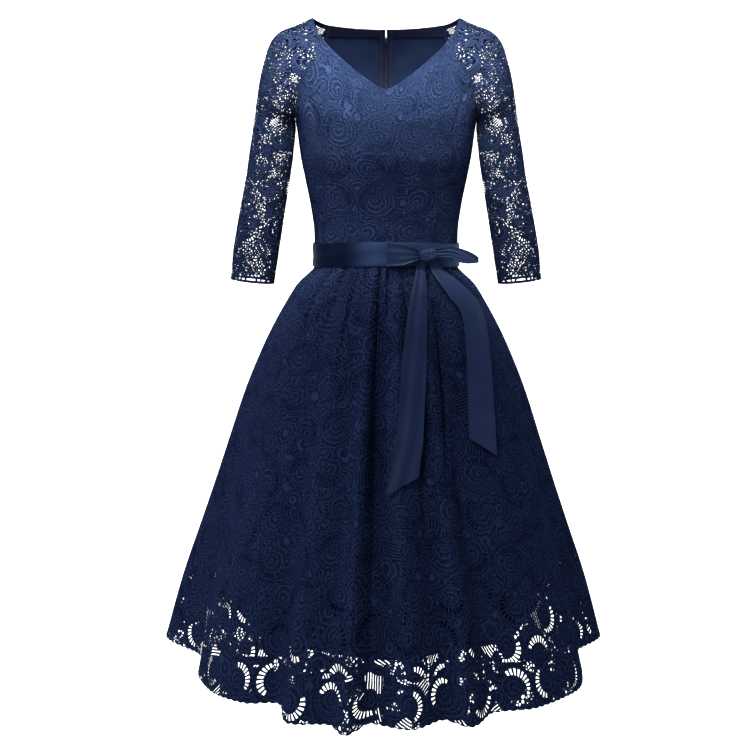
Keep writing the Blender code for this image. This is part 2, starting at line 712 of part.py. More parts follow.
def ring(name, outer, inner, material):
    """A closed band from two grids of points, each row going all the way round."""
    rows, count = outer.shape[:2]
    mesh = bpy.data.meshes.new(name)
    shell = rows * count
    faces = []
    for r in range(rows - 1):
        for c in range(count):
            a, b = r * count + c, r * count + (c + 1) % count
            faces.append((a, b, b + count, a + count))
            faces.append((a + shell, a + count + shell, b + count + shell, b + shell))
    for c in range(count):
        d = (c + 1) % count
        low = (rows - 1) * count
        faces.append((c, c + shell, d + shell, d))
        faces.append((low + c, low + d, low + d + shell, low + c + shell))
    spots = np.concatenate([outer.reshape(-1, 3), inner.reshape(-1, 3)])
    mesh.from_pydata([tuple(spot) for spot in spots], [], faces)
    return finish_mesh(name, mesh, material)


def make_belt():
    angle = np.arange(BELT_SEGMENTS)[None, :] * 360 / BELT_SEGMENTS
    level = np.array([BELT_TOP, (BELT_TOP + BELT_BOTTOM) / 2, BELT_BOTTOM])[:, None]
    ring("belt", belt(angle, level, 0.0), belt(angle, level, -SATIN), "satin")


def bow_frame():
    """The knot's seat on the belt: its place, and the directions along the belt, out and up."""
    centre = belt(KNOT_ANGLE, KNOT_LEVEL, 0.0)
    along = unit(belt(KNOT_ANGLE + 1, KNOT_LEVEL, 0.0) - belt(KNOT_ANGLE - 1, KNOT_LEVEL, 0.0))
    out = unit(np.cross(along, np.array([0.0, 0.0, 1.0])))
    return centre, along, out


def loop_point(table, row_at, across):
    """A loop's face on the side away from the belt. The loop over the belt bends with it."""
    index = np.arange(len(table))
    along, out, up, half = (
        np.interp(row_at, index, [getattr(row, column) for row in table]) for column in LoopRow._fields
    )
    level = KNOT_LEVEL + up + half * (2 * across - 1)
    centre, direction, away = bow_frame()
    if table is LEFT_LOOP:
        degree = belt(KNOT_ANGLE + 1, KNOT_LEVEL, 0) - belt(KNOT_ANGLE, KNOT_LEVEL, 0)
        return belt(KNOT_ANGLE + along / np.linalg.norm(degree), level, out)
    flat = centre + along[..., None] * direction + out[..., None] * away
    flat[..., 2] = level
    return flat


def make_bow():
    for name, table in (("bow_loop_left", LEFT_LOOP), ("bow_loop_right", RIGHT_LOOP)):
        last = len(table) - 1
        cloth(
            name,
            lambda u, v, table=table, last=last: loop_point(table, v * last, u),
            LOOP_FLAT,
            even(0, 1, 2),
            even(0, 1, 2 * last),
            SATIN,
            "satin",
            -1,
            inset=-SATIN / 2,
        )
    centre, along, out = bow_frame()
    shape = bmesh.new()
    bmesh.ops.create_uvsphere(shape, u_segments=12, v_segments=8, radius=1)
    for vertex in shape.verts:
        spot = np.sign(vertex.co) * np.abs(vertex.co) ** KNOT_SQUARENESS
        local = spot * np.array(KNOT_SIZE)
        vertex.co = centre + along * local[0] + out * (KNOT_OUT + local[1]) + np.array([0, 0, local[2]])
    mesh = bpy.data.meshes.new("bow_knot")
    shape.to_mesh(mesh)
    shape.free()
    finish_mesh("bow_knot", mesh, "satin")
    for name, table in (("bow_tail_left", LEFT_TAIL), ("bow_tail_right", RIGHT_TAIL)):
        last = len(table) - 1
        cloth(
            name,
            lambda u, v, table=table, last=last: tail(v * last, u, table),
            TAIL_FLAT,
            even(0, 1, 2),
            even(0, 1, 2 * last),
            SATIN,
            "satin",
            -1,
        )


def zip_depth(level):
    """How far back the inside of the linings lies at the centre back."""
    bodice = read(TORSO, "back", level)
    lower = read(UNDERSKIRT, "back", level) + LINING_INSIDE
    return np.where(level > WAIST, bodice, lower)


def zip_rows(top, end):
    """Places along a zip piece: its ends, and the levels of the sections between them."""
    levels = [row.level for row in TORSO + UNDERSKIRT if end < row.level < top]
    return [(top - level) / (top - end) for level in sorted(set(levels) | {top, end}, reverse=True)]


def make_zip():
    for name, turn in (("left", 1), ("right", -1)):

        def tape(u, v, turn=turn):
            x = ZIP_TAPE_FROM + (ZIP_TAPE_TO - ZIP_TAPE_FROM) * u
            level = ZIP_TOP + (ZIP_END - ZIP_TOP) * v
            return points(turn * x, zip_depth(level) * np.sqrt(1 - (x / ZIP_TAPE_ROUND) ** 2), level)

        rows = zip_rows(ZIP_TOP, ZIP_END)
        name = "zip_tape_" + name
        cloth(name, tape, TAPE_FLAT, (0, 1), rows, ZIP_TAPE, "zip", 1, inset=ZIP_TAPE_INSIDE)

    def coil(u, v):
        level = ZIP_COIL_TOP + (ZIP_COIL_END - ZIP_COIL_TOP) * v
        return points(ZIP_COIL_HALF * (2 * u - 1), zip_depth(level), level)

    rows = zip_rows(ZIP_COIL_TOP, ZIP_COIL_END)
    cloth("zip_coil", coil, COIL_FLAT, (0, 1), rows, ZIP_COIL_DEPTH, "zip", 1, inset=ZIP_COIL_INSIDE)


def slider_frame():
    """A matrix whose X lies across, whose Y runs down the cloth and whose Z points out of the back."""
    spot = Vector((0, float(read(TORSO, "back", SLIDER_LEVEL)), SLIDER_LEVEL))
    below = Vector((0, float(read(TORSO, "back", SLIDER_LEVEL - 0.004)), SLIDER_LEVEL - 0.004))
    down = (below - spot).normalized()
    across = Vector((1, 0, 0))
    out = across.cross(down)
    return Matrix.Translation(spot) @ Matrix((across, down, out)).transposed().to_4x4()


def box(shape, low, high):
    size = [h - l for l, h in zip(low, high)]
    middle = [(l + h) / 2 for l, h in zip(low, high)]
    matrix = Matrix.Translation(middle) @ Matrix.Diagonal(size).to_4x4()
    bmesh.ops.create_cube(shape, size=1, matrix=matrix)


def joined(name, boxes, frame, material):
    """One body from overlapping boxes, united by Booleans, placed in a frame."""
    pieces = []
    for low, high in boxes:
        shape = bmesh.new()
        box(shape, low, high)
        mesh = bpy.data.meshes.new(name + "_piece")
        shape.to_mesh(mesh)
        shape.free()
        piece = bpy.data.objects.new(name + "_piece", mesh)
        bpy.context.scene.collection.objects.link(piece)
        pieces.append(piece)
    whole = pieces[0]
    for other in pieces[1:]:
        modifier = whole.modifiers.new("union", "BOOLEAN")
        modifier.operation = "UNION"
        modifier.solver = "EXACT"
        modifier.object = other
    graph = bpy.context.evaluated_depsgraph_get()
    mesh = bpy.data.meshes.new_from_object(whole.evaluated_get(graph))
    for piece in pieces:
        bpy.data.objects.remove(piece)
    made = finish_mesh(name, mesh, material)
    made.matrix_world = frame
    return made


def make_slider():
    frame = slider_frame()
    wide, reach = SLIDER_INNER
    neck, neck_reach = SLIDER_NECK
    low, high = SLIDER_INNER_DEPTHS
    boxes = [
        ((-wide, -reach, low), (wide, reach, high)),
        ((-neck, -neck_reach, high - 0.0004), (neck, neck_reach, BAIL_BASE[0] + 0.0004)),
        ((-BAIL_HALF, -BAIL_REACH, BAIL_BASE[0]), (BAIL_HALF, BAIL_REACH, BAIL_BASE[1])),
        ((-BAIL_HALF, -BAIL_REACH, BAIL_BASE[0]), (BAIL_HALF, BAIL_LEG - BAIL_REACH, BAIL_TOP[1])),
        ((-BAIL_HALF, BAIL_REACH - BAIL_LEG, BAIL_BASE[0]), (BAIL_HALF, BAIL_REACH, BAIL_TOP[1])),
        ((-BAIL_HALF, -BAIL_REACH, BAIL_TOP[0]), (BAIL_HALF, BAIL_REACH, BAIL_TOP[1])),
    ]
    joined("zip_slider", boxes, frame, "metal")


def make_pull():
    """The pull tab: a ring whose bar lies in the slider's bail, and a plate that narrows to its tip."""
    inner, outer = PULL_RING
    near, far = -PULL_BAR, PULL_BAR
    side = [(-outer, near), (outer, near), (outer, PULL_WINDOW), (PULL_TIP_HALF, PULL_LENGTH)]
    side += [(-PULL_TIP_HALF, PULL_LENGTH), (-outer, PULL_WINDOW)]
    window = [(-inner, far), (inner, far), (inner, PULL_WINDOW), (-inner, PULL_WINDOW)]
    flat = [Vector(spot) for spot in side + window]
    edges = [(i, (i + 1) % len(side)) for i in range(len(side))]
    edges += [(len(side) + i, len(side) + (i + 1) % len(window)) for i in range(len(window))]
    spots, _, faces, _, _, _ = delaunay_2d_cdt(flat, edges, [], 1, FLAT_TOLERANCE)
    kept = [tuple(f) for f in faces if not in_polygon(tuple(np.mean([spots[i] for i in f], axis=0)), window)]
    outer_face = np.array([(s.x, s.y, PULL_BAR) for s in spots])
    inner_face = np.array([(s.x, s.y, -PULL_BAR) for s in spots])
    made = solid_wall("zip_pull", outer_face, inner_face, kept, "metal")
    made.matrix_world = slider_frame() @ Matrix.Translation((0, 0, HINGE_OUT))


def make_materials():
    made = {}
    for name, colour in COLOURS.items():
        material = bpy.data.materials.new(name)
        material.use_nodes = True
        shader = material.node_tree.nodes["Principled BSDF"]
        shader.inputs["Base Color"].default_value = colour
        shader.inputs["Roughness"].default_value = ROUGHNESS[name]
        shader.inputs["Metallic"].default_value = 0.6 if name == "metal" else 0.0
        made[name] = material
    return made


for old in list(bpy.data.objects):
    bpy.data.objects.remove(old)
MATERIALS = make_materials()
ROOT = bpy.data.objects.new("dress_root", None)
bpy.context.scene.collection.objects.link(ROOT)
make_bodice()
make_sleeves()
make_skirt()
make_belt()
make_bow()
make_zip()
make_slider()
make_pull()
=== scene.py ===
"""The looks of the lace bridesmaid dress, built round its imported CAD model.

Metres, +Z up, the front towards -Y, as in the frame. Each piece of cloth is a thin wall whose surface
comes from the same tables of sections as the CAD's, read at many more places, with its creases added.
"""

from collections import namedtuple

import bmesh
import bpy
import numpy as np
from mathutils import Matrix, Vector
from mathutils.geometry import delaunay_2d_cdt


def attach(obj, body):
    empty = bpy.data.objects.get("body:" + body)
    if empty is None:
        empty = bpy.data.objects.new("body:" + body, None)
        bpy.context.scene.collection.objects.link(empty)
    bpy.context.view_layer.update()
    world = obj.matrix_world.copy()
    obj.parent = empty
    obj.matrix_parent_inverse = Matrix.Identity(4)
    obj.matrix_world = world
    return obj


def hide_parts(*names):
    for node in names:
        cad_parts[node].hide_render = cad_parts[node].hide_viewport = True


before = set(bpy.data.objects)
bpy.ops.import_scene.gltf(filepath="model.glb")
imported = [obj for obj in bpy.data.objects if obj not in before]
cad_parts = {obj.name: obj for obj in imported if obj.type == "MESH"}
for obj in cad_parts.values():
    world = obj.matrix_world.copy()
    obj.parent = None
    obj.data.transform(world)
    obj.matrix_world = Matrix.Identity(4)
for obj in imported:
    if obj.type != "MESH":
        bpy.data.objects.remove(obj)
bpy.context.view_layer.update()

# The photograph's framing: the camera's place in front of the dress, its tilt down and its lens
CAMERA_FRONT = 2.089
CAMERA_HEIGHT = -0.232
CAMERA_TILT = 6.05
CAMERA_SENSOR = 36.0
CAMERA_LENS = 61.8
CAMERA_SHIFT = (-0.0147, -0.100)
FLOOR = -1.45

# Cloth thicknesses
LACE = 0.0012
LINING = 0.0010
SATIN = 0.0011
LINING_INSIDE = 0.0016
TAPE = 0.0006

# The cut of the dress
WAIST = -0.372
WAIST_SIDE_DROP = 0.010
WAIST_DROP_REACH = 0.12
NECK_FRONT = -0.118
NECK_BACK = -0.012
NECK_V_ROUND = 0.12
ARMPIT = 0.6
RAGLAN_SEAM = 0.0007
BODICE_GAP = 0.0012
HEM = -1.017
LINING_HEM = -0.957
BELT_TOP = -0.353
BELT_BOTTOM = -0.3905
BELT_HALF_WIDTH = 0.1192
BELT_FRONT = 0.0942
BELT_BACK = 0.0910

# Sections of the body that the bodice follows, from the waist up to the shoulder
Section = namedtuple("Section", "level half_width front back")
TORSO = [
    Section(-0.372, 0.1160, 0.0905, 0.0870),
    Section(-0.338, 0.1165, 0.0925, 0.0880),
    Section(-0.298, 0.1220, 0.0985, 0.0910),
    Section(-0.259, 0.1300, 0.1090, 0.0950),
    Section(-0.219, 0.1378, 0.1190, 0.0980),
    Section(-0.173, 0.1440, 0.1170, 0.1000),
    Section(-0.130, 0.1545, 0.1010, 0.1010),
    Section(-0.090, 0.1565, 0.0810, 0.0980),
    Section(-0.060, 0.1550, 0.0620, 0.0910),
    Section(-0.030, 0.1500, 0.0410, 0.0800),
    Section(-0.012, 0.1470, 0.0270, 0.0700),
    Section(0.000, 0.1450, 0.0180, 0.0620),
]

# Where the raglan seam and the side seam run on the body: degrees round from the centre, and height
SeamRow = namedtuple("SeamRow", "rise angle level")
FRONT_SEAM = [
    SeamRow(0.00, 90.0, -0.372),
    SeamRow(0.30, 90.0, -0.272),
    SeamRow(0.60, 90.0, -0.173),
    SeamRow(0.68, 76.0, -0.155),
    SeamRow(0.76, 65.0, -0.126),
    SeamRow(0.82, 61.0, -0.108),
    SeamRow(0.88, 50.0, -0.087),
    SeamRow(0.92, 45.5, -0.070),
    SeamRow(0.96, 42.5, -0.053),
    SeamRow(1.00, 44.0, -0.030),
]
BACK_SEAM = [
    SeamRow(0.00, 90.0, -0.372),
    SeamRow(0.30, 90.0, -0.272),
    SeamRow(0.60, 90.0, -0.173),
    SeamRow(0.68, 77.0, -0.150),
    SeamRow(0.76, 66.0, -0.122),
    SeamRow(0.82, 58.0, -0.098),
    SeamRow(0.88, 50.0, -0.075),
    SeamRow(0.92, 45.0, -0.053),
    SeamRow(0.96, 41.0, -0.029),
    SeamRow(1.00, 39.3, -0.007),
]

# The sleeve from cuff to neck: its outer line, its underarm line, how full it is, and how sharply it
# folds away from the bodice at the seam
SleeveRow = namedtuple("SleeveRow", "rise outer_x outer_z inner_x inner_z forward full crease")
SLEEVE = [
    SleeveRow(0.00, 0.2510, -0.417, 0.1800, -0.425, -0.014, 0.049, 1.00),
    SleeveRow(0.10, 0.2475, -0.376, 0.1735, -0.383, -0.012, 0.051, 1.00),
    SleeveRow(0.20, 0.2410, -0.335, 0.1670, -0.340, -0.009, 0.052, 1.00),
    SleeveRow(0.30, 0.2338, -0.295, 0.1605, -0.298, -0.006, 0.053, 1.00),
    SleeveRow(0.40, 0.2262, -0.255, 0.1540, -0.257, -0.003, 0.055, 1.00),
    SleeveRow(0.50, 0.2190, -0.208, 0.1480, -0.215, -0.001, 0.059, 1.00),
    SleeveRow(0.60, 0.2120, -0.161, 0.1440, -0.173, 0.000, 0.062, 1.00),
    SleeveRow(0.68, 0.2072, -0.130, 0.1440, -0.155, 0.000, 0.058, 0.78),
    SleeveRow(0.76, 0.2018, -0.098, 0.1440, -0.126, 0.000, 0.050, 0.62),
    SleeveRow(0.82, 0.1950, -0.070, 0.1380, -0.108, 0.000, 0.043, 0.46),
    SleeveRow(0.88, 0.1860, -0.042, 0.1190, -0.087, 0.000, 0.036, 0.25),
    SleeveRow(0.92, 0.1695, -0.023, 0.1110, -0.070, 0.001, 0.031, 0.10),
    SleeveRow(0.96, 0.1440, -0.0125, 0.1020, -0.053, 0.002, 0.024, 0.00),
    SleeveRow(1.00, 0.1170, 0.000, 0.1050, -0.030, 0.004, 0.014, 0.00),
]

# Sections of the skirt and of its lining, from the hem up to the waist
SKIRT = [
    Section(-1.017, 0.3595, 0.3620, 0.3540),
    Section(-0.912, 0.3310, 0.3270, 0.3220),
    Section(-0.833, 0.3045, 0.2970, 0.2930),
    Section(-0.754, 0.2780, 0.2670, 0.2640),
    Section(-0.675, 0.2525, 0.2370, 0.2350),
    Section(-0.595, 0.2255, 0.2060, 0.2040),
    Section(-0.516, 0.1920, 0.1680, 0.1670),
    Section(-0.457, 0.1610, 0.1350, 0.1340),
    Section(-0.417, 0.1370, 0.1110, 0.1090),
    Section(-0.402, 0.1235, 0.0985, 0.0960),
    Section(-0.391, 0.1165, 0.0912, 0.0880),
    Section(-0.372, 0.1160, 0.0905, 0.0870),
]
UNDERSKIRT = [
    Section(-0.957, 0.2480, 0.2600, 0.2560),
    Section(-0.833, 0.2190, 0.2160, 0.2140),
    Section(-0.675, 0.1880, 0.1700, 0.1680),
    Section(-0.516, 0.1510, 0.1270, 0.1250),
    Section(-0.417, 0.1190, 0.0935, 0.0910),
    Section(-0.391, 0.1146, 0.0893, 0.0861),
    Section(-0.372, 0.1144, 0.0889, 0.0854),
]
UNDERSKIRT_WAVE = 0.006
UNDERSKIRT_WAVES = 8

# The bodice front's drapes from each armpit: how deep they lie, where, as shares across and up the
# panel, how they lean and how far they reach across and up; then the ripples over the waist seam
Drape = namedtuple("Drape", "depth aside rise lean wide tall")
DRAPES = [
    Drape(0.0036, 0.715, 0.73, 1.6, 0.050, 0.15),
    Drape(0.0018, 0.800, 0.60, 1.3, 0.050, 0.12),
]
WAIST_RIPPLE = 0.0010
WAIST_RIPPLES = 17.0
WAIST_RIPPLE_START = 0.6
WAIST_RIPPLE_RISE = 0.05
WAIST_RIPPLE_REACH = 0.10

# The sleeves' soft folds, at the elbow and above the cuff: how high they stand, how close they follow
# each other up the sleeve, how they slant, how the back's differ, and where they lie and reach
Ripple = namedtuple("Ripple", "height along across shift rise reach")
SLEEVE_RIPPLES = [
    Ripple(0.0013, 62.0, 3.0, 0.8, 0.36, 0.22),
    Ripple(0.00091, 48.0, -4.0, 0.0, 0.08, 0.12),
]

# Folds of the skirt: degrees round from the centre, and how far the cloth stands out there just below
# the belt, halfway down and at the hem. Front angles run from the wearer's right seam to the left.
Fold = namedtuple("Fold", "angle waist middle hem")
FRONT_FOLDS = [
    Fold(-90.0, 0.003, 0.004, 0.009),
    Fold(-72.0, -0.005, -0.013, -0.046),
    Fold(-57.0, 0.002, -0.004, -0.018),
    Fold(-45.0, 0.004, 0.004, -0.006),
    Fold(-37.0, 0.000, -0.003, -0.012),
    Fold(-29.5, -0.006, -0.013, -0.038),
    Fold(-21.5, 0.005, 0.010, 0.014),
    Fold(-13.0, -0.003, -0.004, 0.001),
    Fold(-8.5, 0.004, 0.007, 0.030),
    Fold(-3.5, -0.008, -0.024, -0.010),
    Fold(5.5, 0.005, 0.008, 0.010),
    Fold(13.6, -0.005, -0.009, -0.014),
    Fold(18.5, 0.004, 0.006, 0.019),
    Fold(26.5, -0.006, -0.016, -0.012),
    Fold(37.0, 0.003, 0.005, 0.008),
    Fold(50.0, 0.002, 0.009, 0.010),
    Fold(62.0, -0.001, -0.004, -0.014),
    Fold(74.5, -0.005, -0.014, -0.043),
    Fold(90.0, 0.003, 0.000, 0.000),
]
# Back angles run from the wearer's right seam round to the left, with the centre back at 0
BACK_FOLDS = [
    Fold(-90.0, 0.003, 0.004, 0.009),
    Fold(-77.0, -0.004, -0.014, -0.036),
    Fold(-64.0, 0.003, 0.006, 0.006),
    Fold(-53.0, -0.004, -0.012, -0.030),
    Fold(-42.0, 0.004, 0.008, 0.012),
    Fold(-31.0, -0.004, -0.009, -0.024),
    Fold(-21.0, 0.004, 0.008, 0.018),
    Fold(-11.0, -0.006, -0.016, -0.022),
    Fold(0.0, 0.000, 0.006, 0.008),
    Fold(9.0, -0.004, -0.010, -0.018),
    Fold(17.0, 0.005, 0.010, 0.020),
    Fold(27.0, -0.006, -0.018, -0.030),
    Fold(38.0, 0.004, 0.006, 0.010),
    Fold(49.0, -0.003, -0.010, -0.026),
    Fold(60.0, 0.003, 0.007, 0.008),
    Fold(75.0, -0.005, -0.013, -0.042),
    Fold(90.0, 0.003, 0.000, 0.000),
]
FOLD_START = -0.392
FOLD_FULL = -0.425
FOLD_MIDDLE = -0.680

# The skirt's panels: the side that each faces, from how many degrees it starts and how far round it
# goes. The gap at a seam is in radians, as it is at the waist's radius.
SkirtPanel = namedtuple("SkirtPanel", "way side first turn")
SKIRT_PANELS = [
    SkirtPanel("front", -1, -90, 180),
    SkirtPanel("back_left", 1, 0, 90),
    SkirtPanel("back_right", 1, -90, 90),
]
SKIRT_GAP = 0.0025
WAIST_RADIUS = 0.12
SKIRT_RING = 0.23
SKIRT_COLUMNS = 260
CLOSE_ROWS_TO = 0.12

# Creases between the folds: which side, degrees round from the centre, how deep, half the width in
# degrees, how far down the skirt it is deepest and how far it runs, as shares of the skirt, and how many
# degrees it drifts on the way to the hem
Crease = namedtuple("Crease", "side angle depth wide down reach drift")
CREASES = [
    Crease(-1, -66.0, 0.0040, 3.5, 0.12, 0.40, -4.0),
    Crease(-1, -47.0, 0.0090, 3.0, 0.05, 0.40, -3.0),
    Crease(-1, -34.0, 0.0095, 3.0, 0.03, 0.24, 0.0),
    Crease(-1, -21.0, 0.0090, 2.2, 0.05, 0.34, 2.0),
    Crease(-1, -4.8, 0.0125, 2.2, 0.32, 0.95, 0.6),
    Crease(-1, 1.5, 0.0100, 2.4, 0.04, 0.22, -8.0),
    Crease(-1, 12.0, 0.0090, 1.8, 0.30, 0.50, 1.0),
    Crease(-1, 31.8, 0.0140, 1.9, 0.20, 0.50, -24.0),
    Crease(-1, 44.0, 0.0050, 2.6, 0.06, 0.40, 2.0),
    Crease(-1, 57.0, 0.0040, 3.0, 0.05, 0.30, 2.0),
    Crease(-1, 70.0, 0.0035, 3.0, 0.10, 0.40, 3.0),
    Crease(1, -68.0, 0.0040, 3.0, 0.06, 0.40, -2.0),
    Crease(1, -47.0, 0.0045, 2.6, 0.04, 0.30, 1.0),
    Crease(1, -26.0, 0.0045, 2.4, 0.05, 0.35, -2.0),
    Crease(1, -6.0, 0.0035, 2.2, 0.08, 0.30, 0.0),
    Crease(1, 13.0, 0.0045, 2.4, 0.04, 0.35, 2.0),
    Crease(1, 33.0, 0.0045, 2.6, 0.05, 0.30, 1.0),
    Crease(1, 54.0, 0.0040, 2.6, 0.06, 0.40, 3.0),
    Crease(1, 72.0, 0.0035, 3.0, 0.05, 0.30, 2.0),
]
CREASE_NARROW = 0.75
CREASE_WIDENS = 0.50

# Fine pleats under the belt: how deep, how many to a radian round, and how soon they fade downwards.
# Pleats and creases start from nothing at the belt and lie flat at a panel's seams.
PLEAT_DEPTH = 0.0016
PLEATS = 41.0
PLEATS_FADE = 9.0
GATHER_STARTS = 50.0
SEAM_FLATTENS = 12.0

# The lace's scrolls lie in staggered rows on the cloth, each turned, shifted and sized in its own way,
# and each with an arc of open slits. Places are metres on the cloth.
SCROLL_COLUMN = 0.053
SCROLL_ROW = 0.050
SCROLL_FIRST = (0.030, 0.034)
SCROLL_STAGGER = 0.010
SCROLL_TURN = 137.5
SCROLL_SHIFT = 0.0035
SCROLL_LEAN = 0.13
SCROLL_VARIETY = 0.10
SCROLL_RADIUS = 0.0165
NUMBERS_IN_ROW = 7
SLIT_DEPTH = 0.0074
SLIT_BAR = 0.0022
SLITS_IN_ARC = 9
ARC_SWEEP = 140.0
ARC_TAPER = 0.75
BODICE_SCROLL_SCALE = 1.15
SKIRT_SCROLL_SCALE = 1.2
SLEEVE_ROWS_OF_SCROLLS = 8
SLEEVE_EDGE = 0.0045
HEM_SCROLLS = 20
HEM_SCROLL_UP = 0.031
HEM_BAND = 0.066
HEM_SCALLOP = 0.0125
HEM_SCALLOP_DEPTH = 0.0022
HEM_SCALLOP_REACH = 0.006

# How the lace is drawn, in metres: how far out a scroll's curl, its ladder and its arm end, then the
# cells between the scrolls, and the finished edges
TAPE_PITCH = 0.0044
CORD = 0.0009
CURL = 0.0122
LEAF = 0.30
LADDER_END = 0.0208
ARM = 0.0256
WOBBLE = 0.0100
BARS_ROUND = 31.0
BARRED = 0.40
ROSETTE = 0.021
RING_PITCH = 0.0040
VEIN_PITCH = 0.0036
CURL_BARS = 9.0
DRIFT = (0.009, 0.009, 0.0)
NET_PITCH = 0.0042
EDGE_TAPE = 0.0016
EDGE_SLITS = (0.0044, 0.0070)
EDGE_PITCH = 0.0105
EDGE_SLIT_SHARE = 0.52
NECK_TAPE_SHARE = 0.2
LACE_RELIEF = 0.0013

# A place on cloth that has no finished edge counts as a metre away from one
NO_EDGE = 1.0
HAS_EDGE = 0.9

# How far round a scroll its arm goes, as a share of a turn, and how much further a whole one does. Each
# scroll has a share of its own, spread by the golden ratio: above one value its arm is whole, and above
# another it is barred all round.
ARM_TURN = 0.42
WHOLE_TURN = 0.50
WHOLE_FROM = 0.70
BARRED_FROM = 0.86
GOLDEN = 0.618

# How light the lace's ground is, and how much its cords' painted highlights, its threads and its grain add
# to that
GROUND_LIGHT = 0.255
CORD_PAINTED_HIGHLIGHT = 0.52
THREAD_LIGHT = 1.2
GRAIN_LIGHT = 1.4

# How open the lace is: the share of cells with rings, then with rings or veins, how much of the veins is
# slit, the net's thread, how many rings the net in a ringed cell reaches, the curls' slits, and how far
# from its edges it lies on a lining, where its holes stay shut and are painted dark as painted shade
Weave = namedtuple("Weave", "rings veins vein_open thread net_ring curl lined_from")
SKIRT_WEAVE = Weave(0.62, 0.76, 0.34, 0.19, 1.7, 0.0, 0.165)
SLEEVE_WEAVE = Weave(0.38, 0.60, 0.52, 0.14, 2.6, 0.34, 2.0)

# The satin bow and its tails, on the front to the wearer's left
KNOT_ANGLE = 31.0
KNOT_LEVEL = -0.371
KNOT_SIZE = (0.0150, 0.0080, 0.0090)
KNOT_TILT = 18.0
KNOT_OUT = 0.00825
KNOT_SQUARENESS = 0.62
KNOT_CREASES = 1500.0
KNOT_CREASE_SLANT = -0.35
KNOT_CREASE_DEPTH = 0.09
LOOP_RIM = 0.0016
LOOP_LEAST_OUT = 0.0007

# The loops' gathers beside the knot and their waves further out: how high and how many. The gathers
# fade from the loops' first rows on, and the waves grow there.
LOOP_START = 0.015
LOOP_FADE = 0.024
LOOP_GATHER = 0.0015
LOOP_GATHERS = 19.0
LOOP_WAVE = 0.0007
LOOP_WAVES = (6.0, 60.0)
LoopRow = namedtuple("LoopRow", "along out up half")
NumberedLoopRow = namedtuple("NumberedLoopRow", "place along out up half")
RIGHT_LOOP = [
    LoopRow(0.0151, 0.0035, 0.001, 0.0065),
    LoopRow(0.0330, 0.0030, 0.002, 0.0080),
    LoopRow(0.0560, 0.0020, -0.0055, 0.0097),
    LoopRow(0.0780, 0.0020, -0.012, 0.0070),
    LoopRow(0.0930, 0.0050, -0.0137, 0.0030),
    LoopRow(0.0800, 0.0105, -0.0105, 0.0075),
    LoopRow(0.0560, 0.0150, -0.0045, 0.0105),
    LoopRow(0.0330, 0.0150, 0.002, 0.0090),
    LoopRow(0.0151, 0.0100, 0.001, 0.0065),
]
LEFT_LOOP = [
    LoopRow(-0.0149, 0.0030, 0.000, 0.0065),
    LoopRow(-0.0270, 0.0014, 0.000, 0.0120),
    LoopRow(-0.0420, 0.0010, -0.001, 0.0165),
    LoopRow(-0.0545, 0.0010, -0.001, 0.0180),
    LoopRow(-0.0600, 0.0044, -0.0015, 0.0185),
    LoopRow(-0.0545, 0.0085, -0.001, 0.0180),
    LoopRow(-0.0420, 0.0125, -0.001, 0.0165),
    LoopRow(-0.0270, 0.0140, 0.000, 0.0120),
    LoopRow(-0.0149, 0.0100, 0.000, 0.0065),
]
# Each tail's two edges, and how far it stands out of the skirt's section
TailRow = namedtuple("TailRow", "left_x left_z right_x right_z out")
NumberedTailRow = namedtuple("NumberedTailRow", "place left_x left_z right_x right_z out")
LEFT_TAIL = [
    TailRow(0.0482, -0.3821, 0.0602, -0.3821, 0.0048),
    TailRow(0.0450, -0.404, 0.0620, -0.404, 0.0070),
    TailRow(0.0395, -0.426, 0.0630, -0.428, 0.0085),
    TailRow(0.0300, -0.480, 0.0620, -0.484, 0.0120),
    TailRow(0.0230, -0.540, 0.0605, -0.542, 0.0130),
    TailRow(0.0195, -0.590, 0.0570, -0.592, 0.0140),
    TailRow(0.0145, -0.637, 0.0545, -0.638, 0.0150),
    TailRow(0.0070, -0.675, 0.0500, -0.668, 0.0155),
    TailRow(0.0000, -0.7095, 0.0475, -0.6860, 0.0160),
]
RIGHT_TAIL = [
    TailRow(0.0632, -0.3818, 0.0752, -0.3818, 0.0048),
    TailRow(0.0760, -0.406, 0.0950, -0.402, 0.0070),
    TailRow(0.0960, -0.434, 0.1260, -0.426, 0.0090),
    TailRow(0.1180, -0.466, 0.1510, -0.460, 0.0120),
    TailRow(0.1225, -0.510, 0.1600, -0.508, 0.0130),
    TailRow(0.1235, -0.552, 0.1625, -0.552, 0.0140),
    TailRow(0.1235, -0.595, 0.1645, -0.600, 0.0150),
    TailRow(0.1240, -0.637, 0.1664, -0.667, 0.0160),
]

# Each tail's fold beside its left edge, its slow wave and its gathers under the knot: how high, where or
# how many, and how soon they fade downwards
TAIL_FOLD = 0.0042
TAIL_FOLD_AT = 0.16
TAIL_FOLD_REACH = 0.17
TAIL_FOLD_FADE = 7.0
TAIL_WAVE = 0.0012
TAIL_WAVES = (5.5, 3.0)
TAIL_GATHER = 0.0012
TAIL_GATHERS = 20.0
TAIL_GATHER_FADE = 12.0
TAIL_STARTS = 10.0

# The belt's ripples, down it and round it, and how far its edges roll in
BELT_RIPPLE = 0.0005
BELT_RIPPLES = (9.0, 25.0)
BELT_EDGE_ROLL = 0.0006

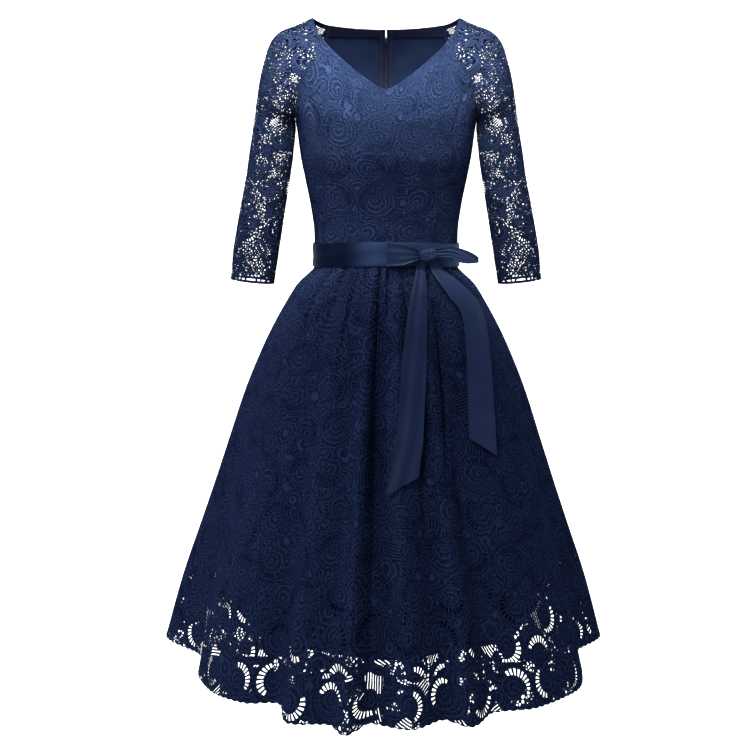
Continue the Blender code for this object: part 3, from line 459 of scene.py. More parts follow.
# The zip at the centre back
ZIP_END = -0.520
ZIP_COIL_TOP = -0.0330
ZIP_COIL_END = -0.516
ZIP_TAPE_FROM = 0.0010
ZIP_TAPE_TO = 0.0120
ZIP_TAPE_INSIDE = 0.0042
ZIP_TAPE_ROUND = 0.15
ZIP_COIL_INSIDE = 0.0052
ZIP_COIL_HALF = 0.0014
ZIP_COIL_DEPTH = 0.0011
ZIP_COIL_WIRE = 0.0003
ZIP_COIL_SIDES = 10
ZIP_TOOTH_PITCH = 0.0014
ZIP_TOP_GAP = 0.0009
ZIP_TOP_GAP_START = 0.93
ZIP_TAPE_TOP = -0.0105
ZIP_COIL_SWING = 0.34
ZIP_CORE = 0.00055
ZIP_CORE_ASIDE = 0.0006
TAPE_SEAMS = (0.55, 0.80)
BACK_NECK = 0.07

# Sewing
RAGLAN_START = 0.66
RAGLAN_INSIDE = 0.0016
RAGLAN_CORD = 0.0016
CORD_SIDES = 6
NECK_FACING = 0.012
FACING_START = 0.03
FACING_INSIDE = 0.0029
SEAM_CORD = 0.0012
LINING_HEM_TURN = 0.012
STITCH_PITCH = 0.0030
STITCH_SIZE = (0.0005, 0.0005, 0.0022)
STITCH_OUT = 0.0002

# How meshes are made: the step that a surface's slope is read over, how clear of a hole the cloth's
# inner corners stay, in columns or rows, and how near corners are joined
SLOPE_STEP = 1e-4
HOLE_CLEARANCE = 0.3
FLAT_TOLERANCE = 1e-7
JOIN_DISTANCE = 2e-5
SHARP_EDGE = 40.0

# Ribs of satin and twill, and the painted light on satin behind: where that starts and is full, and how
# much
SATIN_RIB = 0.0009
TWILL_RIB = 0.0011
SATIN_BEHIND = (-0.06, 0.03)
SATIN_BEHIND_LIGHT = 0.6
# Each satin's painted light across the front, where it starts and where it is full; then its roughness and
# shine
Satin = namedtuple("Satin", "light_start light_full rough shine")
BOW_SATIN = Satin(-0.10, 0.12, 0.30, 0.08)
TAIL_SATIN = Satin(-0.26, 0.24, 0.42, 0.05)
BELT_SATIN = Satin(-0.068, -0.014, 0.40, 0.012)

# Colours, as Blender's linear values
# The lace's band colour is as light as its cords' painted highlights go, and its deep colour is its painted
# shade in grooves and shut holes; on lining, tape and thread the deep colour is the dark end of their tone
LACE_BAND = (0.0190, 0.0320, 0.0880, 1.0)
LACE_DEEP = (0.0022, 0.0042, 0.0170, 1.0)
LINING_COLOUR = (0.0165, 0.0285, 0.0820, 1.0)
# Satin's painted shade, and its colour in painted light
SATIN_PAINTED_SHADE = (0.0018, 0.0036, 0.0150, 1.0)
SATIN_LIT_COLOUR = (0.0150, 0.0278, 0.0800, 1.0)
TAPE_COLOUR = (0.0080, 0.0110, 0.0380, 1.0)
ENAMEL_COLOUR = (0.0140, 0.0200, 0.0700, 1.0)
WORN_METAL = (0.050, 0.060, 0.100, 1.0)
BACKDROP_COLOUR = (0.93, 0.93, 0.93, 1.0)
BACKDROP_SHADE = (0.90, 0.90, 0.90, 1.0)
UNLIT = (0.0, 0.0, 0.0, 1.0)

# The studio: how strong its ambient light is, the backdrop's own glow and shape, and its lights
WORLD_LIGHT = 0.09
BACKDROP_GLOW = 0.85
GLOW_FROM = (0.0, 0.45)
WHITE = (1.0, 1.0, 1.0)
FLOOR_REACH = 6.0
WALL_START = 3.2
WALL_CURVE = 1.2
WALL_TOP = 7.0
Light = namedtuple("Light", "name place aim size spread power tint")
LIGHTS = [
    Light("key", (0.0, -0.40, 0.52), (0.0, -0.07, -0.05), (0.4, 0.15), 28, 2.7, (1.0, 0.94, 0.72)),
    Light("front", (-0.7, -2.3, 1.1), (0, 0, -0.6), (0.9, 0.9), 180, 45, WHITE),
    Light("side_left", (-2.5, -0.7, 0.3), (0, 0, -0.7), (0.6, 1.4), 180, 30, WHITE),
    Light("side_right", (2.5, -1.1, 0.2), (0, 0, -0.7), (0.6, 1.4), 180, 9, WHITE),
    Light("backdrop", (0.0, 1.4, 2.6), (0.0, 4.4, 0.2), (3.0, 1.0), 180, 180, WHITE),
    Light("floor", (0.0, 1.6, 1.6), (0.0, 2.2, -1.45), (2.5, 1.0), 180, 60, WHITE),
]

# --- Curves and surfaces -----------------------------------------------------------------------------


def read(table, column, at, level_ends=False):
    """A column's value at a place along the table's first column, on a smooth curve with no overshoot."""
    places = np.array([row[0] for row in table])
    values = np.array([getattr(row, column) for row in table])
    steps = np.diff(values) / np.diff(places)
    before, after = steps[:-1], steps[1:]
    same = before * after > 0
    mean = np.where(same, 2 * before * after / np.where(same, before + after, 1), 0)
    ends = 0 if level_ends else 1
    slopes = np.concatenate([steps[:1] * ends, mean, steps[-1:] * ends])
    at = np.clip(at, places[0], places[-1])
    i = np.clip(np.searchsorted(places, at) - 1, 0, len(places) - 2)
    wide = places[i + 1] - places[i]
    t = (at - places[i]) / wide
    rise = t * t * (3 - 2 * t)
    bend = t * (1 - t) * wide
    return values[i] * (1 - rise) + values[i + 1] * rise + bend * ((1 - t) * slopes[i] - t * slopes[i + 1])


def points(x, y, z):
    return np.stack(np.broadcast_arrays(x, y, z), axis=-1)


def unit(vectors):
    return vectors / np.linalg.norm(vectors, axis=-1, keepdims=True)


def bump(at, centre, reach):
    """1 at the centre, falling smoothly to nearly 0 at the reach."""
    return np.exp(-(((at - centre) / reach * 1.7) ** 2))


def waist_sag(turn, level):
    near = np.clip(1 - np.abs(level - WAIST) / WAIST_DROP_REACH, 0, 1)
    return WAIST_SIDE_DROP * np.sin(turn) ** 2 * near * near


def on_section(table, angle, level, out, side):
    """A point on a section. side is -1 in front and 1 at the back, and angle is from that centre."""
    turn = np.radians(angle)
    depth = read(table, "front" if side < 0 else "back", level)
    x = (read(table, "half_width", level) + out) * np.sin(turn)
    y = side * (depth + out) * np.cos(turn)
    return points(x, y, level - waist_sag(turn, level))


def soft_v(across, roundness):
    low = np.sqrt(across**2 + roundness**2) - roundness
    return low / (np.sqrt(1 + roundness**2) - roundness)


def bodice_front(across, rise):
    """across runs from -1 to 1, between the seams at the wearer's right and left."""
    edge_level = read(FRONT_SEAM, "level", rise)
    centre_level = WAIST + (NECK_FRONT - WAIST) * rise
    roundness = 1 + (NECK_V_ROUND - 1) * rise
    level = centre_level + (edge_level - centre_level) * soft_v(across, roundness)
    return on_section(TORSO, across * read(FRONT_SEAM, "angle", rise), level, 0, -1)


def bodice_back(across, rise):
    edge_level = read(BACK_SEAM, "level", rise)
    centre_level = WAIST + (NECK_BACK - WAIST) * rise
    level = centre_level + (edge_level - centre_level) * across**2
    return on_section(TORSO, across * read(BACK_SEAM, "angle", rise), level, 0, 1)


def sleeve(side, across, rise):
    """Half of the sleeve on +X. across runs from the underarm line or raglan seam out to the outer line."""
    bodice = bodice_front if side < 0 else bodice_back
    seam = bodice(1.0, rise)
    before = bodice(0.98, rise)
    forward = read(SLEEVE, "forward", rise)
    tube = points(read(SLEEVE, "inner_x", rise), forward, read(SLEEVE, "inner_z", rise))
    on_seam = np.asarray(rise)[..., None] > ARMPIT
    start = np.where(on_seam, seam, tube) + np.array([RAGLAN_SEAM, 0, 0])
    end = points(read(SLEEVE, "outer_x", rise), forward, read(SLEEVE, "outer_z", rise))
    crease = np.asarray(read(SLEEVE, "crease", rise))[..., None]
    leave = unit(crease * np.array([0.0, side, 0.0]) + (1 - crease) * unit(seam - before))
    full = np.asarray(read(SLEEVE, "full", rise))[..., None]
    t = np.asarray(across)[..., None]
    first = start + full * leave
    last = end + full * np.array([0.0, side, 0.0])
    s = 1 - t
    return s**3 * start + 3 * s * s * t * first + 3 * s * t * t * last + t**3 * end


def fold_depth(folds, angle, level):
    waist = read(folds, "waist", angle, level_ends=True)
    middle = read(folds, "middle", angle, level_ends=True)
    hem = read(folds, "hem", angle, level_ends=True)
    down = np.clip((FOLD_FULL - level) / (FOLD_FULL - FOLD_MIDDLE), 0, 1)
    further = np.clip((FOLD_MIDDLE - level) / (FOLD_MIDDLE - HEM), 0, 1)
    start = np.clip((FOLD_START - level) / (FOLD_START - FOLD_FULL), 0, 1)
    return start * (waist + (middle - waist) * down + (hem - middle) * further)


def skirt(side, angle, level):
    folds = FRONT_FOLDS if side < 0 else BACK_FOLDS
    return on_section(SKIRT, angle, level, fold_depth(folds, angle, level), side)


def underskirt(side, angle, level):
    down = (WAIST - level) / (WAIST - LINING_HEM)
    wave = UNDERSKIRT_WAVE * down**2 * np.cos(np.radians(angle) * UNDERSKIRT_WAVES)
    return on_section(UNDERSKIRT, angle, level, wave, side)


def belt(angle, level, out):
    """The belt's outer face, all round, from the centre front."""
    turn = np.radians(angle)
    depth = np.where(np.cos(turn) > 0, BELT_FRONT, BELT_BACK) + out
    x = (BELT_HALF_WIDTH + out) * np.sin(turn)
    return points(x, -depth * np.cos(turn), level - waist_sag(turn, level))


def tail(row_at, across, table):
    """A tail's outer face: between its two edges, over the skirt's section."""
    numbered = [NumberedTailRow(i, *row) for i, row in enumerate(table)]
    left_x, left_z, right_x, right_z, out = (read(numbered, column, row_at) for column in TailRow._fields)
    x = left_x * (1 - across) + right_x * across
    z = left_z * (1 - across) + right_z * across
    half_width = read(SKIRT, "half_width", z) + out
    depth = read(SKIRT, "front", z) + out
    return points(x, -depth * np.sqrt(1 - (x / half_width) ** 2), z)


# --- Cutting cloth -----------------------------------------------------------------------------------


def even(start, end, pieces):
    return np.linspace(start, end, pieces + 1)


def normals(place, u, v, side):
    """Unit normals of a surface place(u, v): forwards on side -1, backwards on side 1, and outwards all
    round on side 0."""
    along_u = place(np.clip(u + SLOPE_STEP, 0, 1), v) - place(np.clip(u - SLOPE_STEP, 0, 1), v)
    along_v = place(u, np.clip(v + SLOPE_STEP, 0, 1)) - place(u, np.clip(v - SLOPE_STEP, 0, 1))
    facing = unit(np.cross(along_u, along_v))
    if side == 0:
        return facing * np.sign((facing * place(u, v))[:, :2].sum())
    return facing * np.sign(facing[:, 1].mean()) * side


def scroll(column, row):
    """A scroll's centre on the cloth, the way that it is turned and its size."""
    number = NUMBERS_IN_ROW * row + column
    turn = np.radians(SCROLL_TURN) * number
    odd = row % 2
    x = SCROLL_FIRST[0] + SCROLL_COLUMN * column + SCROLL_STAGGER * odd + SCROLL_SHIFT * np.cos(turn)
    y = SCROLL_FIRST[1] + SCROLL_ROW * row + SCROLL_SHIFT * np.sin(turn)
    return x, y, turn, 1 + SCROLL_VARIETY * np.cos(number)


def arc_of_slits(column, row):
    """The open slits round one scroll, on the cloth in metres, deepest in the arc's middle."""
    x, y, turn, size = scroll(column, row)
    share = np.radians(ARC_SWEEP) / SLITS_IN_ARC
    bar = SLIT_BAR / SCROLL_RADIUS
    slits = []
    for i in range(SLITS_IN_ARC):
        off = (2 * i + 1) / SLITS_IN_ARC - 1
        depth = SLIT_DEPTH / 2 * np.sqrt(1 - ARC_TAPER * off**2)
        start, end = i * share + bar / 2, (i + 1) * share - bar / 2
        middle = (start + end) / 2
        slit = []
        for way, out in ((start, -0.7), (middle, -1), (end, -0.7), (end, 0.7), (middle, 1), (start, 0.7)):
            reach = size * (SCROLL_RADIUS + depth * out) / (1 + SCROLL_LEAN * np.cos(way))
            slit.append((x + reach * np.cos(turn + way), y + reach * np.sin(turn + way)))
        slits.append(slit)
    return slits


def inside(spots, polygon):
    """Which of the spots lie inside a polygon."""
    found = np.zeros(len(spots), bool)
    for (x1, y1), (x2, y2) in zip(polygon, polygon[1:] + polygon[:1]):
        if y1 == y2:
            continue
        crosses = (y1 > spots[:, 1]) != (y2 > spots[:, 1])
        found ^= crosses & (spots[:, 0] < x1 + (spots[:, 1] - y1) * (x2 - x1) / (y2 - y1))
    return found


class Flat:
    """A panel laid flat: for each row v, how wide it is, and how far along the cloth the row lies."""

    def __init__(self, place):
        u, self.rows = even(0, 1, 120), even(0, 1, 160)
        spots = place(u[None, :], self.rows[:, None])
        self.widths = np.linalg.norm(np.diff(spots, axis=1), axis=2).sum(axis=1)
        steps = np.linalg.norm(np.diff(spots, axis=0), axis=2).mean(axis=1)
        self.lengths = np.concatenate([[0], np.cumsum(steps)])

    def size(self):
        return float(self.widths.max()), float(self.lengths[-1])

    def area(self):
        middle = (self.widths[1:] + self.widths[:-1]) / 2
        return float((middle * np.diff(self.lengths)).sum())

    def place(self, u, v):
        """How far across and along the cloth a place lies, in metres."""
        return u * np.interp(v, self.rows, self.widths), np.interp(v, self.rows, self.lengths)


def straight_lay(flat):
    """How ribbon and tape lie: straight along, from their own edge."""

    def lay(u, v):
        return np.stack(flat.place(u, v), axis=-1)

    return lay


def bodice_lay(flat, turn=0):
    """How the lace lies on a bodice panel: upright, from its middle, or outwards in a back half."""

    def lay(u, v):
        across, far = flat.place(u * turn if turn else u - 0.5, v)
        return np.stack([across, far], axis=-1) / BODICE_SCROLL_SCALE

    return lay


def sleeve_lay(flat):
    """How the lace lies on half a sleeve: in from its outer line and up from its cuff."""

    def lay(u, v):
        across, far = flat.place(1 - u, v)
        return np.stack([across, far], axis=-1)

    return lay


def fan_lay(flat, turn):
    """How the lace lies on a skirt panel, which is cut as a part of a ring."""

    def lay(u, v):
        reach = SKIRT_RING + np.interp(v, flat.rows, flat.lengths)
        way = (u - 0.5) * turn
        return np.stack([reach * np.sin(way), -reach * np.cos(way)], axis=-1) / SKIRT_SCROLL_SCALE

    return lay


def hem_lay(count):
    """How the lace lies in a skirt panel's hem band: along the hem, with a count of scrolls."""

    def lay(u, v):
        up = ((1 - v) * (WAIST - HEM) - HEM_SCROLL_UP) / SKIRT_SCROLL_SCALE + SCROLL_FIRST[1]
        return np.stack([u * count * SCROLL_COLUMN, up], axis=-1)

    return lay


def cut(across, along, size, holes, far_across=None):
    """Triangles of a panel's flat cut, in its own u and v, with its holes left out."""
    far_across = across if far_across is None else far_across
    width, length = size
    rim = [(u, along[0]) for u in across] + [(across[-1], v) for v in along[1:]]
    rim += [(u, along[-1]) for u in far_across[-2::-1]] + [(across[0], v) for v in along[-2:0:-1]]
    inner = np.array([(u, v) for u in across[1:-1] for v in along[1:-1]])
    scale = np.array([width, length])
    clear = min(width / len(across), length / len(along)) * HOLE_CLEARANCE
    for hole in holes:
        middle = np.mean(hole, axis=0)
        reach = max(np.linalg.norm((np.array(hole) - middle) * scale, axis=1)) + clear
        inner = inner[np.linalg.norm((inner - middle) * scale, axis=1) > reach]
    spots = rim + [tuple(spot) for spot in inner]
    edges = [(i, (i + 1) % len(rim)) for i in range(len(rim))]
    for hole in holes:
        first = len(spots)
        spots += hole
        edges += [(first + i, first + (i + 1) % len(hole)) for i in range(len(hole))]
    flat = [Vector((u * width, v * length)) for u, v in spots]
    made, _, faces, _, _, _ = delaunay_2d_cdt(flat, edges, [], 0, FLAT_TOLERANCE)
    spots = np.array([(spot.x / width, spot.y / length) for spot in made])
    middles = np.array([spots[list(face)].mean(axis=0) for face in faces])
    kept = np.ones(len(faces), bool)
    for hole in holes:
        low, high = np.min(hole, axis=0), np.max(hole, axis=0)
        near = np.where(((middles > low) & (middles < high)).all(axis=1))[0]
        kept[near[inside(middles[near], hole)]] = False
    return spots, [tuple(face) for face, keep in zip(faces, kept) if keep]


def grid(across, along):
    """Squares of a panel with no holes."""
    count = len(along)
    spots = np.array([(u, v) for u in across for v in along])
    starts = [i * count + j for i in range(len(across) - 1) for j in range(count - 1)]
    return spots, [(s, s + count, s + count + 1, s + 1) for s in starts]


def far_from_edge(u, v):
    """The distance from a finished edge, on cloth that has none."""
    return np.full(len(u), NO_EDGE)


class Cloth:
    """One piece of cloth, put together from panels before its wall gets its thickness."""

    def __init__(self, name):
        self.name = name
        self.spots, self.faces, self.corners, self.edges = [], [], [], []
        self.count = 0

    def panel(self, place, cut_panel, lay, side, inset=0.0, edge=far_from_edge):
        """A panel's spots and faces. edge(u, v) is how far a place lies from the cloth's finished edges."""
        spots, faces = cut_panel
        u, v = spots[:, 0], spots[:, 1]
        facing = normals(place, u, v, side)
        surface = place(u, v) - inset * facing
        first = faces[len(faces) // 2]
        a, b, c = surface[first[0]], surface[first[1]], surface[first[2]]
        if np.dot(np.cross(b - a, c - a), facing[first[0]]) < 0:
            faces = [tuple(reversed(face)) for face in faces]
        laid = lay(u, v)
        self.spots.append(surface)
        self.edges.append(edge(u, v))
        self.faces += [tuple(i + self.count for i in face) for face in faces]
        self.corners += [tuple(laid[i]) for face in faces for i in face]
        self.count += len(surface)

    def make(self, thick, material):
        """The piece as a plain mesh: its panels joined, its wall thickened inwards and its edges closed."""
        mesh = bpy.data.meshes.new(self.name)
        mesh.from_pydata([tuple(p) for p in np.concatenate(self.spots)], [], self.faces)
        mesh.uv_layers.new(name="cloth")
        mesh.uv_layers[0].data.foreach_set("uv", np.array(self.corners).ravel())
        mesh.attributes.new("edge", "FLOAT", "POINT")
        mesh.attributes["edge"].data.foreach_set("value", np.concatenate(self.edges))
        shape = bmesh.new()
        shape.from_mesh(mesh)
        bmesh.ops.remove_doubles(shape, verts=shape.verts, dist=JOIN_DISTANCE)
        bmesh.ops.delete(shape, geom=[v for v in shape.verts if not v.link_faces], context="VERTS")
        shape.to_mesh(mesh)
        shape.free()
        made = place_object(self.name, mesh)
        wall = made.modifiers.new("wall", "SOLIDIFY")
        wall.thickness = thick
        wall.offset = -1
        return plain(made, material)


def one_panel(name, place, squares, side, lay=straight_lay, inset=0.0):
    """A piece of cloth of one panel with no holes, and that panel laid flat."""
    flat = Flat(place)
    piece = Cloth(name)
    piece.panel(place, squares, lay(flat), side, inset)
    return piece, flat


def place_object(name, mesh):
    made = bpy.data.objects.new(name, mesh)
    bpy.context.scene.collection.objects.link(made)
    return made


def plain(made, material):
    """The object with its modifiers worked into its mesh, and its finish."""
    graph = bpy.context.evaluated_depsgraph_get()
    mesh = bpy.data.meshes.new_from_object(made.evaluated_get(graph))
    mesh.name = made.name
    made.modifiers.clear()
    made.data = mesh
    mesh.materials.clear()
    mesh.materials.append(material)
    mesh.shade_smooth()
    mesh.set_sharp_from_angle(angle=np.radians(SHARP_EDGE))
    return made


def declare(made, nodes, flats=()):
    """Hides the CAD parts that the piece stands for and hangs it on the dress's body. The size and area
    of the cloth that it was cut from are worked out but not kept.
    """
    if nodes:
        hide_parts(*nodes)
    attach(made, "dress")
    if flats:
        width = sum(flat.size()[0] for flat in flats)
        length = max(flat.size()[1] for flat in flats)
        area = sum(flat.area() for flat in flats)
    return made


# --- Node trees --------------------------------------------------------------------------------------


class Socket:
    """A node's output, so that maths on it reads as it is written."""

    def __init__(self, web, socket):
        self.web, self.socket = web, socket

    def math(self, operation, *others):
        inputs = dict(enumerate((self,) + others))
        return self.web.node("ShaderNodeMath", {"operation": operation}, inputs)

    def __add__(self, other):
        return self.math("ADD", other)

    def __radd__(self, other):
        return self.math("ADD", other)

    def __sub__(self, other):
        return self.math("SUBTRACT", other)

    def __rsub__(self, other):
        return self.math("MULTIPLY_ADD", -1.0, other)

    def __mul__(self, other):
        return self.math("MULTIPLY", other)

    def __rmul__(self, other):
        return self.math("MULTIPLY", other)

    def __truediv__(self, other):
        return self.math("DIVIDE", other)

    def __gt__(self, other):
        return self.math("GREATER_THAN", other)

    def __lt__(self, other):
        return self.math("LESS_THAN", other)

    def floor(self):
        return self.math("FLOOR")

    def fract(self):
        return self.math("FRACT")

    def abs(self):
        return self.math("ABSOLUTE")

    def sin(self):
        return self.math("SINE")

    def cos(self):
        return self.math("COSINE")

    def sqrt(self):
        return self.math("SQRT")

    def least(self, other):
        return self.math("MINIMUM", other)

    def most(self, other):
        return self.math("MAXIMUM", other)

    def ramp(self, low, high):
        """0 below low and 1 above high, smooth between."""
        settings = {"interpolation_type": "SMOOTHSTEP"}
        return self.web.node("ShaderNodeMapRange", settings, {0: self, 1: low, 2: high})

    def within(self, low, high):
        """1 between two values and 0 outside them."""
        return (self > low) * (self < high)


class Web:
    """A node tree that is built node by node."""

    def __init__(self, tree):
        self.tree = tree

    def node(self, kind, settings=None, inputs=None, output=0):
        """A new node's output, after its settings and the values or links of its inputs."""
        made = self.tree.nodes.new(kind)
        for key, value in (settings or {}).items():
            setattr(made, key, value)
        self.fill(made, inputs or {})
        return Socket(self, made.outputs[output])

    def fill(self, node, inputs):
        for key, value in inputs.items():
            if isinstance(value, Socket):
                self.tree.links.new(value.socket, node.inputs[key])
            else:
                node.inputs[key].default_value = value


class Paint(Web):
    """A material and its node tree."""

    def __init__(self, name):
        self.material = bpy.data.materials.new(name)
        self.material.use_nodes = True
        super().__init__(self.material.node_tree)

    def mix(self, share, first, second):
        """A colour between two, by a share from 0 to 1."""
        return self.node("ShaderNodeMix", {"data_type": "RGBA"}, {0: share, 6: first, 7: second}, 2)

    def parts(self, vector):
        split = self.node("ShaderNodeSeparateXYZ", None, {0: vector})
        return [Socket(self, socket) for socket in split.socket.node.outputs]

    def cloth_place(self):
        """The place on the cloth laid flat, in metres."""
        return self.node("ShaderNodeUVMap", {"uv_map": "cloth"})

    def edge_distance(self):
        """How far the place lies from the cloth's finished edges, in metres."""
        return self.node("ShaderNodeAttribute", {"attribute_name": "edge"}, None, 2)

    def object_place(self):
        return self.node("ShaderNodeTexCoord", None, None, 3)

    def noise(self, place, scale, detail=2.0):
        return self.node("ShaderNodeTexNoise", None, {"Vector": place, "Scale": scale, "Detail": detail})

    def raise_surface(self, height, distance, strength=1.0):
        inputs = {"Height": height, "Distance": distance, "Strength": strength}
        return self.node("ShaderNodeBump", None, inputs)

    def finish(self, **inputs):
        shader = self.tree.nodes["Principled BSDF"]
        self.fill(shader, {key.replace("_", " "): value for key, value in inputs.items()})
        return self.material


def nearest_scroll(x, y):
    """For a place on the cloth, its scroll: how far out in it the place lies, which way round, and the
    scroll's number."""
    best = None
    row_at = (y - SCROLL_FIRST[1]) / SCROLL_ROW
    for next_row in (0, 1):
        row = row_at.floor() + next_row
        odd = row - (row * 0.5).floor() * 2
        across = x - odd * SCROLL_STAGGER - SCROLL_FIRST[0]
        column_at = across / SCROLL_COLUMN
        for next_column in (0, 1):
            column = column_at.floor() + next_column
            number = row * NUMBERS_IN_ROW + column
            turn = number * np.radians(SCROLL_TURN)
            ahead, aside = turn.cos(), turn.sin()
            right = across - column * SCROLL_COLUMN - ahead * SCROLL_SHIFT
            up = y - row * SCROLL_ROW - SCROLL_FIRST[1] - aside * SCROLL_SHIFT
            leaning = (right * ahead + up * aside) * SCROLL_LEAN
            reach = ((right * right + up * up).sqrt() + leaning) / (1 + number.cos() * SCROLL_VARIETY)
            found = [reach, right, up, number]
            if best is None:
                best = found
                continue
            closer = reach < best[0]
            best = [old + closer * (new - old) for old, new in zip(best, found)]
    reach, right, up, number = best
    turn = number * np.radians(SCROLL_TURN)
    way = ((up.math("ARCTAN2", right) - turn) / (2 * np.pi)).fract()
    return reach, way, number


def stripes(at):
    """0 in the middle of each stripe and 1 at its borders, for stripes one wide."""
    return (at.fract() * 2 - 1).abs()


def cords(at, pitch):
    """1 along the raised cords at the borders of stripes of a pitch, and 0 between them."""
    return stripes(at / pitch).ramp(1 - 2.0 * CORD / pitch, 1 - 0.9 * CORD / pitch)


def lace_finish(name, weave):
    """Corded scroll lace: curled tapes with ladders of slits, and rosettes, leaves and net between them."""
    paint = Paint(name)
    place = paint.cloth_place()
    x, y, _ = paint.parts(place)
    reach, way, number = nearest_scroll(x, y)
    kind = (number * GOLDEN).fract()
    whole = kind > WHOLE_FROM
    soft = paint.noise(place, 34.0, 2.0)
    wobble = (soft - 0.5) * WOBBLE

    # Which part of a scroll this is: its curl, its ladder or the tape round that
    sweep = whole * WHOLE_TURN + ARM_TURN
    leaf = reach * ((way * (2 * np.pi)).cos() * LEAF + 1) + wobble * 0.6
    curl = leaf < CURL
    arm = (reach < ARM + wobble) * (way < sweep) * (1 - curl)
    ladder = arm * (reach < LADDER_END)
    barred = (way < BARRED).most(kind > BARRED_FROM)
    tape = arm * (1 - ladder)
    curl_at = (leaf + way * TAPE_PITCH) / TAPE_PITCH
    curl_cord = cords(curl_at * TAPE_PITCH, TAPE_PITCH)
    tape_cord = cords(reach - LADDER_END, ARM - LADDER_END)
    ladder_cord = cords(reach - CURL + wobble * 0.3, (LADDER_END - CURL) / 2)

    # The ladder's open slits, and the fine bars that go on behind them
    arc = way / (ARC_SWEEP / 360)
    depth = (1 - (arc * 2 - 1) * (arc * 2 - 1) * ARC_TAPER).most(0.0).sqrt() * (SLIT_DEPTH / 2)
    pitch = np.radians(ARC_SWEEP) / SLITS_IN_ARC * SCROLL_RADIUS
    in_bar = (1 - stripes(arc * SLITS_IN_ARC)) * (pitch / 2) < SLIT_BAR / 2
    slit = (arc < 1.0) * ((reach - SCROLL_RADIUS).abs() < depth) * (1 - in_bar)
    bars = stripes(way * BARS_ROUND)
    curl_gap = curl * (stripes(curl_at) < weave.curl) * (reach > TAPE_PITCH)
    curl_gap = curl_gap * (stripes(way * CURL_BARS) < 0.8)
    tape_at = (reach - LADDER_END) / (ARM - LADDER_END)
    tape_gap = tape * (stripes(tape_at) < weave.curl) * (bars < 0.7)

    # Between the scrolls: cells of rings, of leaf veins or of net
    drift = paint.node("ShaderNodeTexNoise", None, {"Vector": place, "Scale": 38.0, "Detail": 1.0}, 1)
    shift = {0: drift, 1: DRIFT, 2: place}
    moved = paint.node("ShaderNodeVectorMath", {"operation": "MULTIPLY_ADD"}, shift)
    cell = paint.node("ShaderNodeTexVoronoi", None, {"Vector": moved, "Scale": 1 / ROSETTE})
    tint = Socket(paint, cell.socket.node.outputs["Color"])
    pick, lie, _ = paint.parts(tint)
    out = cell * ROSETTE
    ground = (1 - curl) * (1 - arm)
    ringed = ground * (pick < weave.rings)
    veined = ground * pick.within(weave.rings, weave.veins)
    ring_cord = cords(out, RING_PITCH)
    along = x * (lie * 20.0).cos() + y * (lie * 20.0).sin()
    vein = stripes(along / VEIN_PITCH + wobble * 150.0)
    net_edge = paint.node(
        "ShaderNodeTexVoronoi",
        {"feature": "DISTANCE_TO_EDGE"},
        {"Vector": place, "Scale": 1 / NET_PITCH, "Randomness": 0.8},
    )
    net_ring = ringed * out.within(RING_PITCH * 1.15, RING_PITCH * weave.net_ring)
    netted = (ground * (pick > weave.veins)).most(net_ring)
    net_hole = netted * (net_edge > weave.thread)
    vein_hole = veined * (vein < weave.vein_open)
    hole = slit.most(curl_gap).most(tape_gap).most(net_hole).most(vein_hole)

    # Finished edges: a plain tape, at the cuffs with a row of longer slits beside it
    edge = paint.edge_distance()
    row = edge.within(*EDGE_SLITS) * (stripes(x / EDGE_PITCH + soft * 4) < EDGE_SLIT_SHARE)
    hole = hole * (edge > EDGE_SLITS[1] + EDGE_TAPE).most(slit) + row
    # Where the lace lies on the lining its holes stay shut and are painted dark: painted shade of the gaps
    over_lining = edge.within(weave.lined_from, HAS_EDGE)
    shown = 1 - hole.least(1.0) * (1 - over_lining)

    # Raised cords stand up in the bump and the cloth between them lies deeper; their lighter colour is
    # painted highlight and the darker ground between them painted shade
    cord = curl * curl_cord + tape * tape_cord + ringed * ring_cord
    cord = cord + ladder * (barred * (bars > 0.6) * 0.6 + (1 - barred) * ladder_cord)
    cord = cord + veined * (vein > 0.6) * 0.8 + netted * (net_edge < weave.thread * 0.8) * 0.55
    thread = paint.noise(place, 900.0, 3.0)
    grain = paint.noise(place, 330.0, 2.0)
    fine = (thread - 0.5) * THREAD_LIGHT + (grain - 0.5) * GRAIN_LIGHT
    shade = cord.least(1.0) * CORD_PAINTED_HIGHLIGHT + fine + GROUND_LIGHT
    # Holes are painted darker: painted shade in the gaps
    shade = (shade * (1 - hole * 0.8)).most(0.0).least(1.0)
    colour = paint.mix(shade, LACE_DEEP, LACE_BAND)
    height = cord.least(1.0) * 0.8 - hole * 0.6 + thread * 0.3 + grain * 0.5 + soft * 0.4
    normal = paint.raise_surface(height, LACE_RELIEF)
    return paint.finish(
        Base_Color=colour,
        Roughness=0.62,
        Alpha=shown,
        Normal=normal,
        Specular_IOR_Level=0.0,
    )


def lining_finish():
    """Plain woven lining with a faint sheen."""
    paint = Paint("lining")
    place = paint.object_place()
    soft = paint.noise(place, 30.0, 3.0)
    weave = paint.noise(place, 1400.0, 1.0)
    colour = paint.mix(soft * 0.6 + weave * 0.3, LACE_DEEP, LINING_COLOUR)
    normal = paint.raise_surface(weave * 0.3 + soft, 0.0006, 0.5)
    return paint.finish(Base_Color=colour, Roughness=0.5, Normal=normal, Specular_IOR_Level=0.0)


